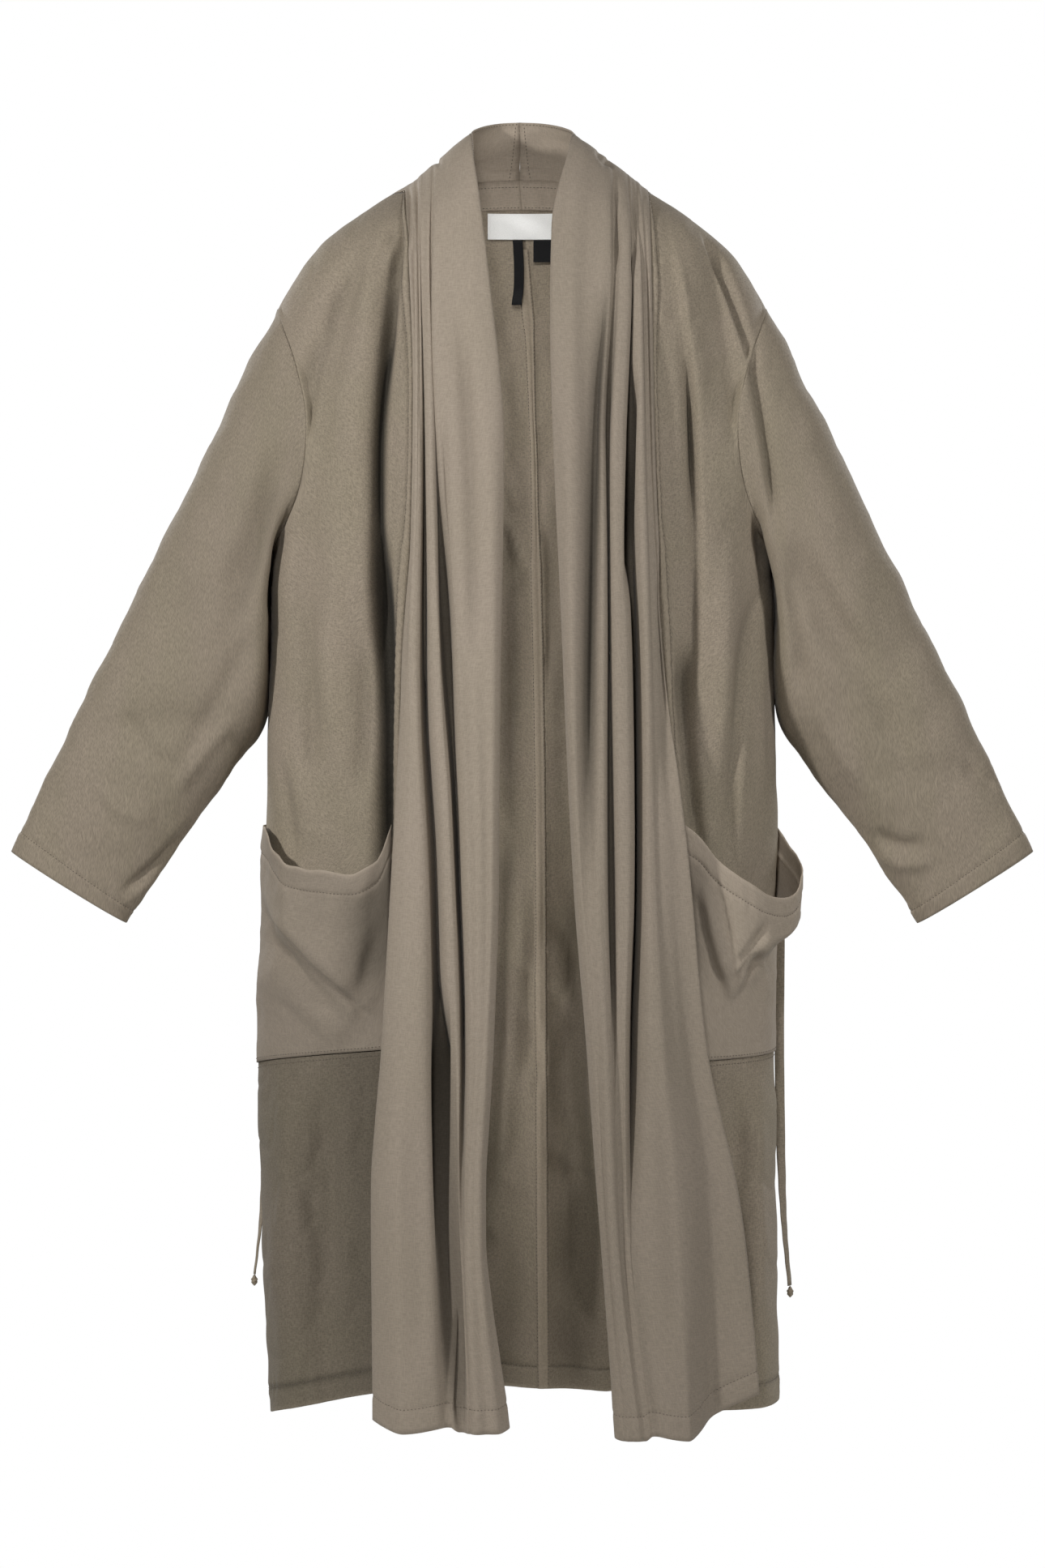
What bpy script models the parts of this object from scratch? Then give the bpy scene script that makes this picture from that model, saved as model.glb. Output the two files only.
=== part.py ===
"""A long open-front jacket with a draped shawl collar, as cloth walls cut and sewn from panels.

Metres, +Z up. The front faces -Y, and left and right are as seen from the front. The origin lies
between the shoulders, level with the sides of the neck, where a wearer holds the jacket up.
"""

import bmesh
import bpy
import numpy as np
from mathutils import Matrix

# Cloth and sewing
CLOTH = 0.0015
POCKET_CLOTH = 0.0012
LABEL_CLOTH = 0.0010
SEAM_GAP = 0.0005
LAP_GAP = 0.0004
LABEL_GAP = 0.0006

# Levels, down from the sides of the neck
SHOULDER_END = -0.100
UNDERARM = -0.310
POCKET_SEAM = -0.740
HEM = -1.050

SIGN = {"left": -1, "right": 1}
FRONT, BACK = -1, 1

# Points that the walls face away from
BODY_MIDDLE = (0, 0, (POCKET_SEAM + HEM) / 2)
NECK_MIDDLE = (0, 0, 0)
BEHIND = (0, 0.3, HEM / 2)

# Number of cells in each wall
FRONT_COLUMNS = 10
BACK_COLUMNS = 11
SLEEVE_COLUMNS = 18
POCKET_COLUMNS, POCKET_ROWS = 14, 8
FACING_COLUMNS, FACING_ROWS = 6, 3
LABEL_COLUMNS, LABEL_ROWS = 4, 3
STEPS_PER_FOLD = 2


def table(columns, *rows):
    """Named columns of sizes, sorted by the first of them."""
    return dict(zip(columns.split(), np.array(sorted(rows), float).T))


# The body's oval at each level: its middle, half width, depth to front and back, and the centre-back seam
BODY = table(
    "level middle half_width front back centre_seam",
    (0.022, 0.000, 0.104, 0.010, 0.070, -0.002),
    (0.000, 0.000, 0.112, 0.025, 0.078, 0.000),
    (-0.010, 0.000, 0.128, 0.045, 0.081, 0.001),
    (-0.025, 0.000, 0.150, 0.066, 0.085, 0.002),
    (-0.050, 0.000, 0.179, 0.083, 0.090, 0.004),
    (-0.077, 0.000, 0.1980, 0.092, 0.094, 0.006),
    (-0.100, 0.000, 0.2110, 0.097, 0.096, 0.008),
    (-0.130, 0.000, 0.2210, 0.100, 0.097, 0.009),
    (-0.170, 0.000, 0.2255, 0.103, 0.098, 0.010),
    (-0.220, 0.000, 0.2245, 0.106, 0.099, 0.012),
    (-0.270, 0.000, 0.2190, 0.107, 0.100, 0.013),
    (-0.310, 0.000, 0.2160, 0.108, 0.100, 0.014),
    (-0.455, 0.000, 0.2185, 0.109, 0.101, 0.017),
    (-0.640, -0.003, 0.2215, 0.110, 0.104, 0.019),
    (-0.740, -0.005, 0.2225, 0.111, 0.106, 0.020),
    (-0.900, -0.002, 0.2210, 0.113, 0.109, 0.021),
    (-1.050, 0.002, 0.2190, 0.116, 0.112, 0.022),
)
ROUNDNESS = 2.3
NECK_RISE, NECK_RISE_FADE = 0.021, 0.060
ARMHOLE_NOTCH = 0.043

# How far from the middle the collar is sewn to each front
COLLAR_SEAM = table(
    "level left right",
    (0.000, 0.101, 0.108),
    (-0.070, 0.095, 0.1085),
    (-0.180, 0.091, 0.110),
    (-0.310, 0.093, 0.114),
    (-0.400, 0.100, 0.119),
    (-0.520, 0.102, 0.123),
    (-0.740, 0.103, 0.125),
    (-1.050, 0.104, 0.126),
)

# Rows of the walls. Those beside the armhole meet the sleeve's columns
ARMHOLE_MIDDLE = (SHOULDER_END + UNDERARM) / 2
ARMHOLE_HALF = (SHOULDER_END - UNDERARM) / 2
ARMHOLE_TURNS = np.linspace(0, np.pi, SLEEVE_COLUMNS // 2 + 1)
ARMHOLE_LEVELS = tuple(ARMHOLE_MIDDLE + ARMHOLE_HALF * np.cos(ARMHOLE_TURNS))
CHEST_LEVELS = (-0.36, -0.41, -0.46, -0.51, -0.56, -0.61, -0.66, -0.70)
UPPER_LEVELS = (0, -0.03, -0.06) + ARMHOLE_LEVELS + CHEST_LEVELS + (POCKET_SEAM,)
LOWER_LEVELS = (POCKET_SEAM, -0.79, -0.84, -0.89, -0.94, -0.99, -1.025, HEM)
SKIRT_LEVELS = (-0.39, -0.47, -0.55, -0.63, -0.71, -0.79, -0.87, -0.94, -1.0)
BACK_LEVELS = (0, -0.02, -0.05) + ARMHOLE_LEVELS + SKIRT_LEVELS + (HEM,)

# The pocket's foot seam slopes a little on each side, and the rows near it follow
SEAM_TILT = {"left": -0.020, "right": 0.005}
TILT_REACH = 0.090

# How much higher than the back the hem hangs: at each front's inner edge and side seam, and on each collar
HEM_RISE = {
    "left": {"inner": 0.036, "side": 0.000, "collar": 0.006},
    "right": {"inner": 0.013, "side": 0.013, "collar": 0.000},
}
HEM_RISE_REACH, HEM_RISE_BEND = 0.25, 1.3

# Large folds: where each starts and ends as seen from the front, its half width and its height
FOLDS = {
    "front_left": (
        (-0.104, -0.10, -0.113, -0.50, 0.012, -0.007),
        (-0.135, -0.05, -0.178, -0.30, 0.018, -0.008),
        (-0.150, -0.28, -0.158, -0.70, 0.022, -0.006),
        (-0.150, -0.72, -0.140, -1.20, 0.025, -0.010),
        (-0.195, -0.72, -0.190, -1.20, 0.020, 0.005),
    ),
    "front_right": (
        (0.118, -0.08, 0.140, -0.52, 0.012, -0.007),
        (0.148, -0.06, 0.190, -0.24, 0.015, -0.008),
        (0.170, -0.30, 0.176, -0.68, 0.020, 0.006),
        (0.165, -0.72, 0.160, -1.20, 0.024, -0.010),
        (0.200, -0.72, 0.200, -1.20, 0.016, 0.005),
    ),
    "back": (
        (-0.150, -0.45, -0.165, -1.30, 0.026, 0.014),
        (-0.085, -0.40, -0.080, -1.30, 0.028, -0.016),
        (-0.025, -0.55, -0.015, -1.30, 0.024, 0.010),
        (0.070, -0.45, 0.075, -1.30, 0.026, -0.016),
        (0.140, -0.40, 0.150, -1.30, 0.028, 0.014),
        (-0.120, -0.05, -0.150, -0.32, 0.022, 0.006),
        (0.120, -0.05, 0.150, -0.32, 0.022, 0.006),
    ),
    "sleeve_left": (
        (-0.215, -0.30, -0.330, -0.40, 0.020, -0.005),
        (-0.260, -0.46, -0.390, -0.46, 0.016, -0.004),
        (-0.225, -0.16, -0.300, -0.40, 0.020, 0.004),
    ),
    "sleeve_right": (
        (0.215, -0.32, 0.345, -0.44, 0.020, -0.005),
        (0.280, -0.50, 0.420, -0.50, 0.016, -0.004),
        (0.225, -0.15, 0.310, -0.42, 0.020, 0.004),
    ),
}
FOLD_TAPER, SEAM_TAPER = 0.3, 0.25

# The sleeve along its length: its outer and inner edges as seen from the front, its half depth, and how round
# its section is, from 1 for an oval down to a box
SLEEVE = table(
    "along outer_x outer_z inner_x inner_z half_depth round",
    (0.00, 0.2115, -0.100, 0.2165, -0.310, 0.064, 0.90),
    (0.12, 0.2390, -0.154, 0.2195, -0.378, 0.064, 0.65),
    (0.25, 0.2680, -0.214, 0.2210, -0.440, 0.061, 0.60),
    (0.45, 0.3180, -0.315, 0.2420, -0.486, 0.052, 0.75),
    (0.65, 0.3630, -0.406, 0.2760, -0.533, 0.042, 0.90),
    (0.85, 0.4080, -0.497, 0.3150, -0.588, 0.030, 1.00),
    (1.00, 0.4410, -0.5675, 0.3420, -0.6290, 0.022, 1.00),
)
SLEEVE_ROWS = (0, 0.05, 0.11, 0.18, 0.26, 0.35, 0.45, 0.55, 0.65, 0.75, 0.86, 1)
ARMHOLE_REACH = 0.35
ARMHOLE_GAP = 0.0009

# The pocket across its width, from the collar seam to the side: the level of its mouth, how far its belly
# stands out, and how far down the belly hangs as a share of the pocket's depth
POCKET_LEFT = table(
    "across mouth belly hang",
    (0.00, -0.543, 0.0000, 0.95),
    (0.05, -0.573, 0.0040, 0.98),
    (0.14, -0.584, 0.0130, 0.92),
    (0.28, -0.582, 0.0200, 0.70),
    (0.44, -0.576, 0.0200, 0.53),
    (0.55, -0.565, 0.0150, 0.48),
    (0.66, -0.552, 0.0085, 0.44),
    (0.78, -0.547, 0.0035, 0.40),
    (1.00, -0.544, 0.0000, 0.30),
)
POCKET_RIGHT = table(
    "across mouth belly hang",
    (0.00, -0.540, 0.0000, 0.30),
    (0.10, -0.551, 0.0025, 0.38),
    (0.18, -0.5705, 0.0060, 0.50),
    (0.30, -0.588, 0.0140, 0.74),
    (0.45, -0.602, 0.0200, 0.46),
    (0.60, -0.606, 0.0225, 0.38),
    (0.72, -0.599, 0.0230, 0.36),
    (0.81, -0.585, 0.0230, 0.38),
    (0.89, -0.572, 0.0170, 0.36),
    (0.95, -0.5585, 0.0080, 0.33),
    (1.00, -0.5445, 0.0000, 0.30),
)
POCKETS = {"left": POCKET_LEFT, "right": POCKET_RIGHT}
POCKET_INSET = 0.03
BELLY_END = 0.62

# The collar's sections down the front, with a column for each fold line from the seam to the free edge:
# how far it lies from the middle
COLLAR_AWAY = {
    "left": table(
        "level outer_side outer_crest first_slit middle_crest second_slit"
        " main_outer main_dip main_inner roll free_edge",
        (0.000, 0.0960, 0.0920, 0.0870, 0.0820, 0.0760, 0.0690, 0.0610, 0.0530, 0.0465, 0.0430),
        (-0.060, 0.0925, 0.0890, 0.0855, 0.0815, 0.0770, 0.0690, 0.0570, 0.0440, 0.0340, 0.0385),
        (-0.236, 0.0885, 0.0860, 0.0825, 0.0780, 0.0730, 0.0630, 0.0470, 0.0280, 0.0155, 0.0300),
        (-0.425, 0.1000, 0.0920, 0.0810, 0.0690, 0.0600, 0.0500, 0.0390, 0.0260, 0.0170, 0.0320),
        (-0.580, 0.1085, 0.0920, 0.0710, 0.0610, 0.0525, 0.0430, 0.0340, 0.0255, 0.0190, 0.0340),
        (-0.725, 0.1160, 0.0950, 0.0670, 0.0570, 0.0480, 0.0410, 0.0350, 0.0290, 0.0245, 0.0370),
        (-0.865, 0.1255, 0.1000, 0.0640, 0.0550, 0.0500, 0.0450, 0.0400, 0.0350, 0.0310, 0.0430),
        (HEM, 0.1240, 0.0980, 0.0620, 0.0500, 0.0440, 0.0370, 0.0290, 0.0200, 0.0105, 0.0240),
    ),
    "right": table(
        "level wing wing_valley outer_crest first_slit middle_crest second_slit"
        " main_outer main_dip main_inner roll free_edge",
        (0.000, 0.1030, 0.0985, 0.0940, 0.0890, 0.0830, 0.0770, 0.0710, 0.0640, 0.0560, 0.0475, 0.0435),
        (-0.060, 0.1050, 0.1020, 0.0985, 0.0930, 0.0860, 0.0790, 0.0700, 0.0570, 0.0430, 0.0270, 0.0335),
        (-0.236, 0.1090, 0.1055, 0.1000, 0.0890, 0.0800, 0.0720, 0.0640, 0.0540, 0.0410, 0.0285, 0.0420),
        (-0.425, 0.1210, 0.1150, 0.1060, 0.0940, 0.0830, 0.0730, 0.0650, 0.0555, 0.0430, 0.0320, 0.0460),
        (-0.580, 0.1390, 0.1240, 0.1090, 0.0945, 0.0850, 0.0740, 0.0660, 0.0580, 0.0490, 0.0410, 0.0560),
        (-0.725, 0.1530, 0.1380, 0.1150, 0.0905, 0.0830, 0.0760, 0.0710, 0.0660, 0.0605, 0.0550, 0.0690),
        (-0.865, 0.1810, 0.1570, 0.1250, 0.0890, 0.0830, 0.0785, 0.0750, 0.0715, 0.0680, 0.0640, 0.0790),
        (HEM, 0.1970, 0.1590, 0.1370, 0.1090, 0.1015, 0.0960, 0.0915, 0.0875, 0.0830, 0.0765, 0.0885),
    ),
}
# and how far each fold line stands out from the front panel
COLLAR_OUT = {
    "left": table(
        "level outer_side outer_crest first_slit middle_crest second_slit"
        " main_outer main_dip main_inner roll free_edge",
        (0.000, 0.0020, 0.0030, 0.0035, 0.0040, 0.0050, 0.0060, 0.0070, 0.0070, 0.0050, 0.0030),
        (-0.120, 0.0030, 0.0050, 0.0050, 0.0080, 0.0080, 0.0120, 0.0130, 0.0150, 0.0100, -0.0060),
        (-0.300, 0.0050, 0.0130, 0.0045, 0.0180, 0.0120, 0.0225, 0.0240, 0.0255, 0.0160, -0.0030),
        (-0.580, 0.0100, 0.0280, 0.0090, 0.0320, 0.0140, 0.0350, 0.0365, 0.0360, 0.0240, 0.0040),
        (-0.800, 0.0140, 0.0360, 0.0080, 0.0300, 0.0230, 0.0360, 0.0390, 0.0370, 0.0260, 0.0060),
        (HEM, 0.0160, 0.0400, 0.0140, 0.0330, 0.0370, 0.0400, 0.0410, 0.0390, 0.0280, 0.0080),
    ),
    "right": table(
        "level wing wing_valley outer_crest first_slit middle_crest second_slit"
        " main_outer main_dip main_inner roll free_edge",
        (0.000, 0.0020, 0.0025, 0.0030, 0.0035, 0.0040, 0.0050, 0.0060, 0.0070, 0.0070, 0.0050, 0.0030),
        (-0.120, 0.0040, 0.0040, 0.0080, 0.0050, 0.0120, 0.0100, 0.0150, 0.0140, 0.0160, 0.0100, -0.0060),
        (-0.300, 0.0100, 0.0110, 0.0180, 0.0045, 0.0220, 0.0170, 0.0260, 0.0270, 0.0280, 0.0170, -0.0030),
        (-0.580, 0.0180, 0.0220, 0.0300, 0.0120, 0.0340, 0.0270, 0.0360, 0.0370, 0.0370, 0.0240, 0.0060),
        (-0.800, 0.0140, 0.0170, 0.0400, 0.0160, 0.0350, 0.0360, 0.0380, 0.0390, 0.0380, 0.0270, 0.0080),
        (HEM, 0.0160, 0.0190, 0.0440, 0.0400, 0.0420, 0.0440, 0.0450, 0.0450, 0.0430, 0.0290, 0.0100),
    ),
}
COLLAR_SEAM_LIFT = 0.0012
# How much higher than its seam the collar's free edge lies, where the collar turns up round the neck
SLANT = table("level rise", (0, 0.049), (-0.03, 0.038), (-0.06, 0.022), (-0.12, 0.004), (-0.20, 0), (HEM, 0))
# How much higher the collar's hem hangs at the fold lines near its two sides
OUTER_HEM_LIFT = {
    "wing": 0.034,
    "wing_valley": 0.017,
    "outer_side": 0.008,
    "first_slit": 0.004,
    "roll": 0.003,
    "free_edge": 0.008,
}

# The collar round the back neck, as turns from the shoulder to the centre back, and its standing top edge
NECK_TURNS = (1.0, 0.8, 0.6, 0.4, 0.2, 0.0)
TOP_HALF_WIDTH = {"left": 0.0430, "right": 0.0480}
TOP_BACK = 0.060
TOP_SIDE_LEVEL, TOP_BACK_LEVEL = 0.051, 0.0735
NECK_HOLLOW = 0.008

# The neck facing, and the labels by their middle, width, top and bottom inside the back
FACING_HEIGHT = 0.0165
FACING_END = 0.6
LABELS = {
    "label_main": (0.0025, 0.066, -0.0045, -0.0265),
    "label_care": (-0.0040, 0.0088, -0.0270, -0.0835),
    "label_size": (0.0195, 0.0190, -0.0270, -0.0460),
}

# The ties, from the side seam to the knot: level, and how far the middle of the tie hangs outside the body.
# The left one hangs farther back
TIE_WIDTH, TIE_CLOTH = 0.0080, 0.0020
TIE_LEFT = table(
    "level out",
    (-0.592, 0.0050),
    (-0.650, 0.0052),
    (-0.740, 0.0060),
    (-0.820, 0.0090),
    (-0.880, 0.0145),
    (-0.938, 0.0225),
)
TIE_RIGHT = table(
    "level out",
    (-0.592, 0.0045),
    (-0.650, 0.0048),
    (-0.740, 0.0052),
    (-0.820, 0.0060),
    (-0.880, 0.0078),
    (-0.943, 0.0125),
)
TIES = {"left": TIE_LEFT, "right": TIE_RIGHT}
TIE_ROWS = 26
TIE_TWIST = {"left": -1.45, "right": 1.2}
TIE_TWIST_START = -0.74
TIE_DEPTH = {"left": 0.0400, "right": 0.0045}
KNOT_RADIUS, KNOT_LENGTH = 0.0030, 0.0100
KNOT_SEGMENTS, KNOT_RINGS = 10, 6

ROUGHNESS = 0.85
COLOURS = {
    "main_cloth": (0.245, 0.205, 0.156, 1),
    "drape_cloth": (0.315, 0.262, 0.205, 1),
    "white_label": (0.82, 0.82, 0.80, 1),
    "black_label": (0.012, 0.012, 0.013, 1),
}


def smooth_through(knots, values, at):
    """Values at knots, read in between along a cubic that keeps their rises and never overshoots."""
    knots, values, at = (np.asarray(item, float) for item in (knots, values, at))
    trailing = (1,) * (values.ndim - 1)
    gaps = np.diff(knots)
    wide = gaps.reshape((-1,) + trailing)
    slopes = np.diff(values, axis=0) / wide
    turns = slopes[:-1] * slopes[1:] <= 0
    weight_before, weight_after = 2 * wide[1:] + wide[:-1], wide[1:] + 2 * wide[:-1]
    before, after = (np.where(turns, 1, item) for item in (slopes[:-1], slopes[1:]))
    harmonic = (weight_before + weight_after) / (weight_before / before + weight_after / after)
    tangents = np.concatenate([slopes[:1], np.where(turns, 0, harmonic), slopes[-1:]])
    piece = np.clip(np.searchsorted(knots, at) - 1, 0, len(knots) - 2)
    t = np.clip((at - knots[piece]) / gaps[piece], 0, 1).reshape(at.shape + trailing)
    width = gaps[piece].reshape(at.shape + trailing)
    start = (1 + 2 * t) * (1 - t) ** 2 * values[piece] + t * (1 - t) ** 2 * width * tangents[piece]
    end = t * t * (3 - 2 * t) * values[piece + 1] - t * t * (1 - t) * width * tangents[piece + 1]
    return start + end


def read(columns, name, at):
    """One column of a table, read at any place along its first column."""
    first = next(iter(columns))
    return smooth_through(columns[first], columns[name], at)


def ease(low, high, value):
    """0 below low, 1 above high, and a smooth step between."""
    t = np.clip((value - low) / (high - low), 0, 1)
    return t * t * (3 - 2 * t)


def oval_turn(share):
    """The turn round the body's oval at which a point lies this share of the half width from the middle."""
    return np.arccos(np.sign(share) * np.minimum(np.abs(share), 1) ** (ROUNDNESS / 2))


def turn_at(sign, x, level):
    return oval_turn((x - read(BODY, "middle", level)) * sign / read(BODY, "half_width", level))


def armhole_turn(level):
    """Where the armhole, or below and above it the side or shoulder seam, lies on the body's oval."""
    notch = ARMHOLE_NOTCH * np.maximum(0, 1 - ((level - ARMHOLE_MIDDLE) / ARMHOLE_HALF) ** 2)
    return oval_turn(1 - notch / read(BODY, "half_width", level))


def body_point(sign, face, turn, level):
    """A point of the body's outer face. The turn is 0 at the side and a quarter turn at the middle."""
    turn, level = np.broadcast_arrays(turn, level)
    power = 2 / ROUNDNESS
    across = np.sign(np.cos(turn)) * np.abs(np.cos(turn)) ** power
    depth = read(BODY, "front" if face == FRONT else "back", level)
    x = read(BODY, "middle", level) + sign * read(BODY, "half_width", level) * across
    return np.stack([x, face * depth * np.abs(np.sin(turn)) ** power, level], axis=-1)


def body_normal(sign, face, turn, level):
    """The level direction straight out of the body's oval."""
    turn, level = np.broadcast_arrays(turn, level)
    power = 2 - 2 / ROUNDNESS
    across = np.sign(np.cos(turn)) * np.abs(np.cos(turn)) ** power / read(BODY, "half_width", level)
    depth = np.abs(np.sin(turn)) ** power / read(BODY, "front" if face == FRONT else "back", level)
    normal = np.stack([sign * across, face * depth, np.zeros_like(across)], axis=-1)
    return normal / np.linalg.norm(normal, axis=-1, keepdims=True)


def fold_height(piece, points):
    """How far a piece's folds lift each point: a bell across each fold's line, tapering at its ends."""
    height = np.zeros(points.shape[:-1])
    for start_x, start_z, end_x, end_z, half_width, most in FOLDS[piece]:
        run_x, run_z = end_x - start_x, end_z - start_z
        length = np.hypot(run_x, run_z)
        from_x, from_z = points[..., 0] - start_x, points[..., 2] - start_z
        along = (from_x * run_x + from_z * run_z) / length**2
        across = (from_x * run_z - from_z * run_x) / length
        taper = ease(0, FOLD_TAPER, along) * ease(0, FOLD_TAPER, 1 - along)
        height += most * np.exp(-((across / half_width) ** 2)) * taper
    return height


def front_points(side, across, level, out=0):
    """A front panel's outer face, or a layer this far out. Across is 0 at the collar, 1 at the side."""
    sign = SIGN[side]
    tilt = SEAM_TILT[side] * (across - 0.5)
    level = level + tilt * np.exp(-(((level - POCKET_SEAM) / TILT_REACH) ** 2))
    hem = HEM_RISE[side]
    rise = hem["side"] + (hem["inner"] - hem["side"]) * (1 - across) ** HEM_RISE_BEND
    level = level + rise * ease(HEM + HEM_RISE_REACH, HEM, level)
    inner = turn_at(sign, sign * read(COLLAR_SEAM, side, level), level)
    turn = inner + (armhole_turn(level) - inner) * across
    points = body_point(sign, FRONT, turn, level)
    height = fold_height("front_" + side, points) * np.sin(np.pi * across) ** 0.5 + out
    points = points + body_normal(sign, FRONT, turn, level) * height[..., None]
    points[..., 1] -= SEAM_GAP / 2
    return points


def back_points(side, across, level, out=0):
    """A back panel's outer face, or a layer this far out. Across is 0 at the centre back, 1 at the side."""
    sign = SIGN[side]
    level = level + NECK_RISE * np.cos(across * np.pi / 2) ** 2 * np.exp(level / NECK_RISE_FADE)
    level = level + HEM_RISE[side]["side"] * across**2 * ease(HEM + HEM_RISE_REACH, HEM, level)
    middle = turn_at(sign, read(BODY, "centre_seam", level), level)
    turn = middle + (armhole_turn(level) - middle) * across
    points = body_point(sign, BACK, turn, level)
    height = fold_height("back", points) * np.minimum(1, (1 - across) / SEAM_TAPER) + out
    points = points + body_normal(sign, BACK, turn, level) * height[..., None]
    points[..., 0] += sign * SEAM_GAP / 2
    points[..., 1] += SEAM_GAP / 2
    return points


def sleeve_points(side, along, turn):
    """A sleeve's outer face: rings that start as the armhole and become ovals between its two edges."""
    sign = SIGN[side]
    along, turn = np.broadcast_arrays(along, turn)
    edges = {name: read(SLEEVE, name, along) for name in list(SLEEVE)[1:]}
    x = (edges["outer_x"] + edges["inner_x"]) / 2 + np.cos(turn) * (edges["outer_x"] - edges["inner_x"]) / 2
    z = (edges["outer_z"] + edges["inner_z"]) / 2 + np.cos(turn) * (edges["outer_z"] - edges["inner_z"]) / 2
    y = -edges["half_depth"] * np.sign(np.sin(turn)) * np.abs(np.sin(turn)) ** edges["round"]
    level = ARMHOLE_MIDDLE + ARMHOLE_HALF * np.cos(turn)
    edge_turn = armhole_turn(level)
    front = body_point(sign, FRONT, edge_turn, level)
    back = body_point(sign, BACK, edge_turn, level)
    armhole = np.where(np.sin(turn)[..., None] > 0, front, back)
    armhole[..., 0] += sign * ARMHOLE_GAP
    leave = (1 - np.clip(1 - along / ARMHOLE_REACH, 0, 1) ** 2)[..., None]
    points = armhole * (1 - leave) + np.stack([sign * x, y, z], axis=-1) * leave
    points[..., 1] -= fold_height("sleeve_" + side, points) * np.sin(turn)
    return points


def pocket_points(side, across, down):
    """A pocket's outer face: the front panel's points moved out, by its wall and then by its belly."""
    sizes = POCKETS[side]
    across, down = np.broadcast_arrays(across, down)
    mouth = read(sizes, "mouth", across)
    level = mouth + (POCKET_SEAM + SEAM_GAP - mouth) * down
    hang = read(sizes, "hang", across)
    belly = read(sizes, "belly", across) * (1 - ease(BELLY_END, 1, down / hang))
    out = POCKET_CLOTH + LAP_GAP + belly
    return front_points(side, POCKET_INSET + (1 - POCKET_INSET) * across, level, out)


def collar_front_sections(side, levels):
    """The collar down the front: a section through its fold lines, slanting up near the neck."""
    sign = SIGN[side]
    levels = np.asarray(levels, float)
    lines = list(COLLAR_AWAY[side])[1:]
    up = levels[:, None]
    hem_share = ease(HEM + HEM_RISE_REACH, HEM, up)
    seam_edge = front_points(side, np.zeros(len(levels)), levels)
    away = np.stack([read(COLLAR_AWAY[side], line, levels) for line in lines], axis=1)
    out = np.stack([read(COLLAR_OUT[side], line, levels) for line in lines], axis=1)
    x = np.concatenate([seam_edge[:, :1], sign * away], axis=1)
    y = np.concatenate([seam_edge[:, 1:2] - COLLAR_SEAM_LIFT, seam_edge[:, 1:2] - out], axis=1)
    share = (x - x[:, :1]) / (x[:, -1:] - x[:, :1])
    z = up + read(SLANT, "rise", up) * np.clip(share, 0, 1)
    z = z + COLLAR_SEAM_LIFT * ease(UPPER_LEVELS[1], 0, up)
    lift = np.array([0] + [OUTER_HEM_LIFT.get(line, 0) for line in lines])
    z = z + (lift + HEM_RISE[side]["collar"]) * hem_share
    return np.stack([x, y, z], axis=-1)


def collar_neck_sections(side, shares):
    """The standing collar from the centre back to the shoulder: sections from neckline to top edge."""
    sign = SIGN[side]
    turns = np.asarray(NECK_TURNS) * np.pi / 2
    seam = back_points(side, 1 - np.asarray(NECK_TURNS), np.zeros(len(turns)), -CLOTH / 2)
    seam[:, 2] += SEAM_GAP + CLOTH / 4
    centre = read(BODY, "centre_seam", TOP_BACK_LEVEL) + sign * SEAM_GAP / 2
    top = np.stack([
        centre + sign * TOP_HALF_WIDTH[side] * np.cos(turns),
        TOP_BACK * np.sin(turns),
        TOP_SIDE_LEVEL + (TOP_BACK_LEVEL - TOP_SIDE_LEVEL) * np.sin(turns),
    ], axis=-1)
    sections = seam[:, None] + (top - seam)[:, None] * shares[None, :, None]
    sections[..., 0] -= sign * NECK_HOLLOW * np.cos(turns)[:, None] * np.sin(np.pi * shares)
    return sections


def collar_net(side):
    """All the collar's sections, from the centre back round the neck and down the front to the hem."""
    levels = UPPER_LEVELS + LOWER_LEVELS[1:]
    front = collar_front_sections(side, levels)
    steps = np.linalg.norm(np.diff(front[0], axis=0), axis=-1)
    shares = np.concatenate([[0], np.cumsum(steps)]) / steps.sum()
    return np.concatenate([collar_neck_sections(side, shares), front])


def collar_points(side, steps):
    """The collar's middle face, with each section's fold lines joined by a smooth curve."""
    net = collar_net(side)
    spacing = np.linalg.norm(np.diff(net, axis=1), axis=-1).mean(axis=0)
    knots = np.concatenate([[0], np.cumsum(spacing)])
    lines = np.arange(len(knots))
    places = np.interp(np.linspace(0, lines[-1], steps * lines[-1] + 1), lines, knots)
    return smooth_through(knots, net.transpose(1, 0, 2), places).transpose(1, 0, 2)


def make_material(name):
    material = bpy.data.materials.new(name)
    material.use_nodes = True
    shader = material.node_tree.nodes["Principled BSDF"]
    shader.inputs["Base Color"].default_value = COLOURS[name]
    shader.inputs["Roughness"].default_value = ROUGHNESS
    shader.inputs["Metallic"].default_value = 0.0
    material.diffuse_color = COLOURS[name]
    return material


def add_object(name, mesh, material):
    mesh.materials.append(material)
    mesh.shade_smooth()
    obj = bpy.data.objects.new(name, mesh)
    collection.objects.link(obj)
    obj.parent = hold
    return obj


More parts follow.
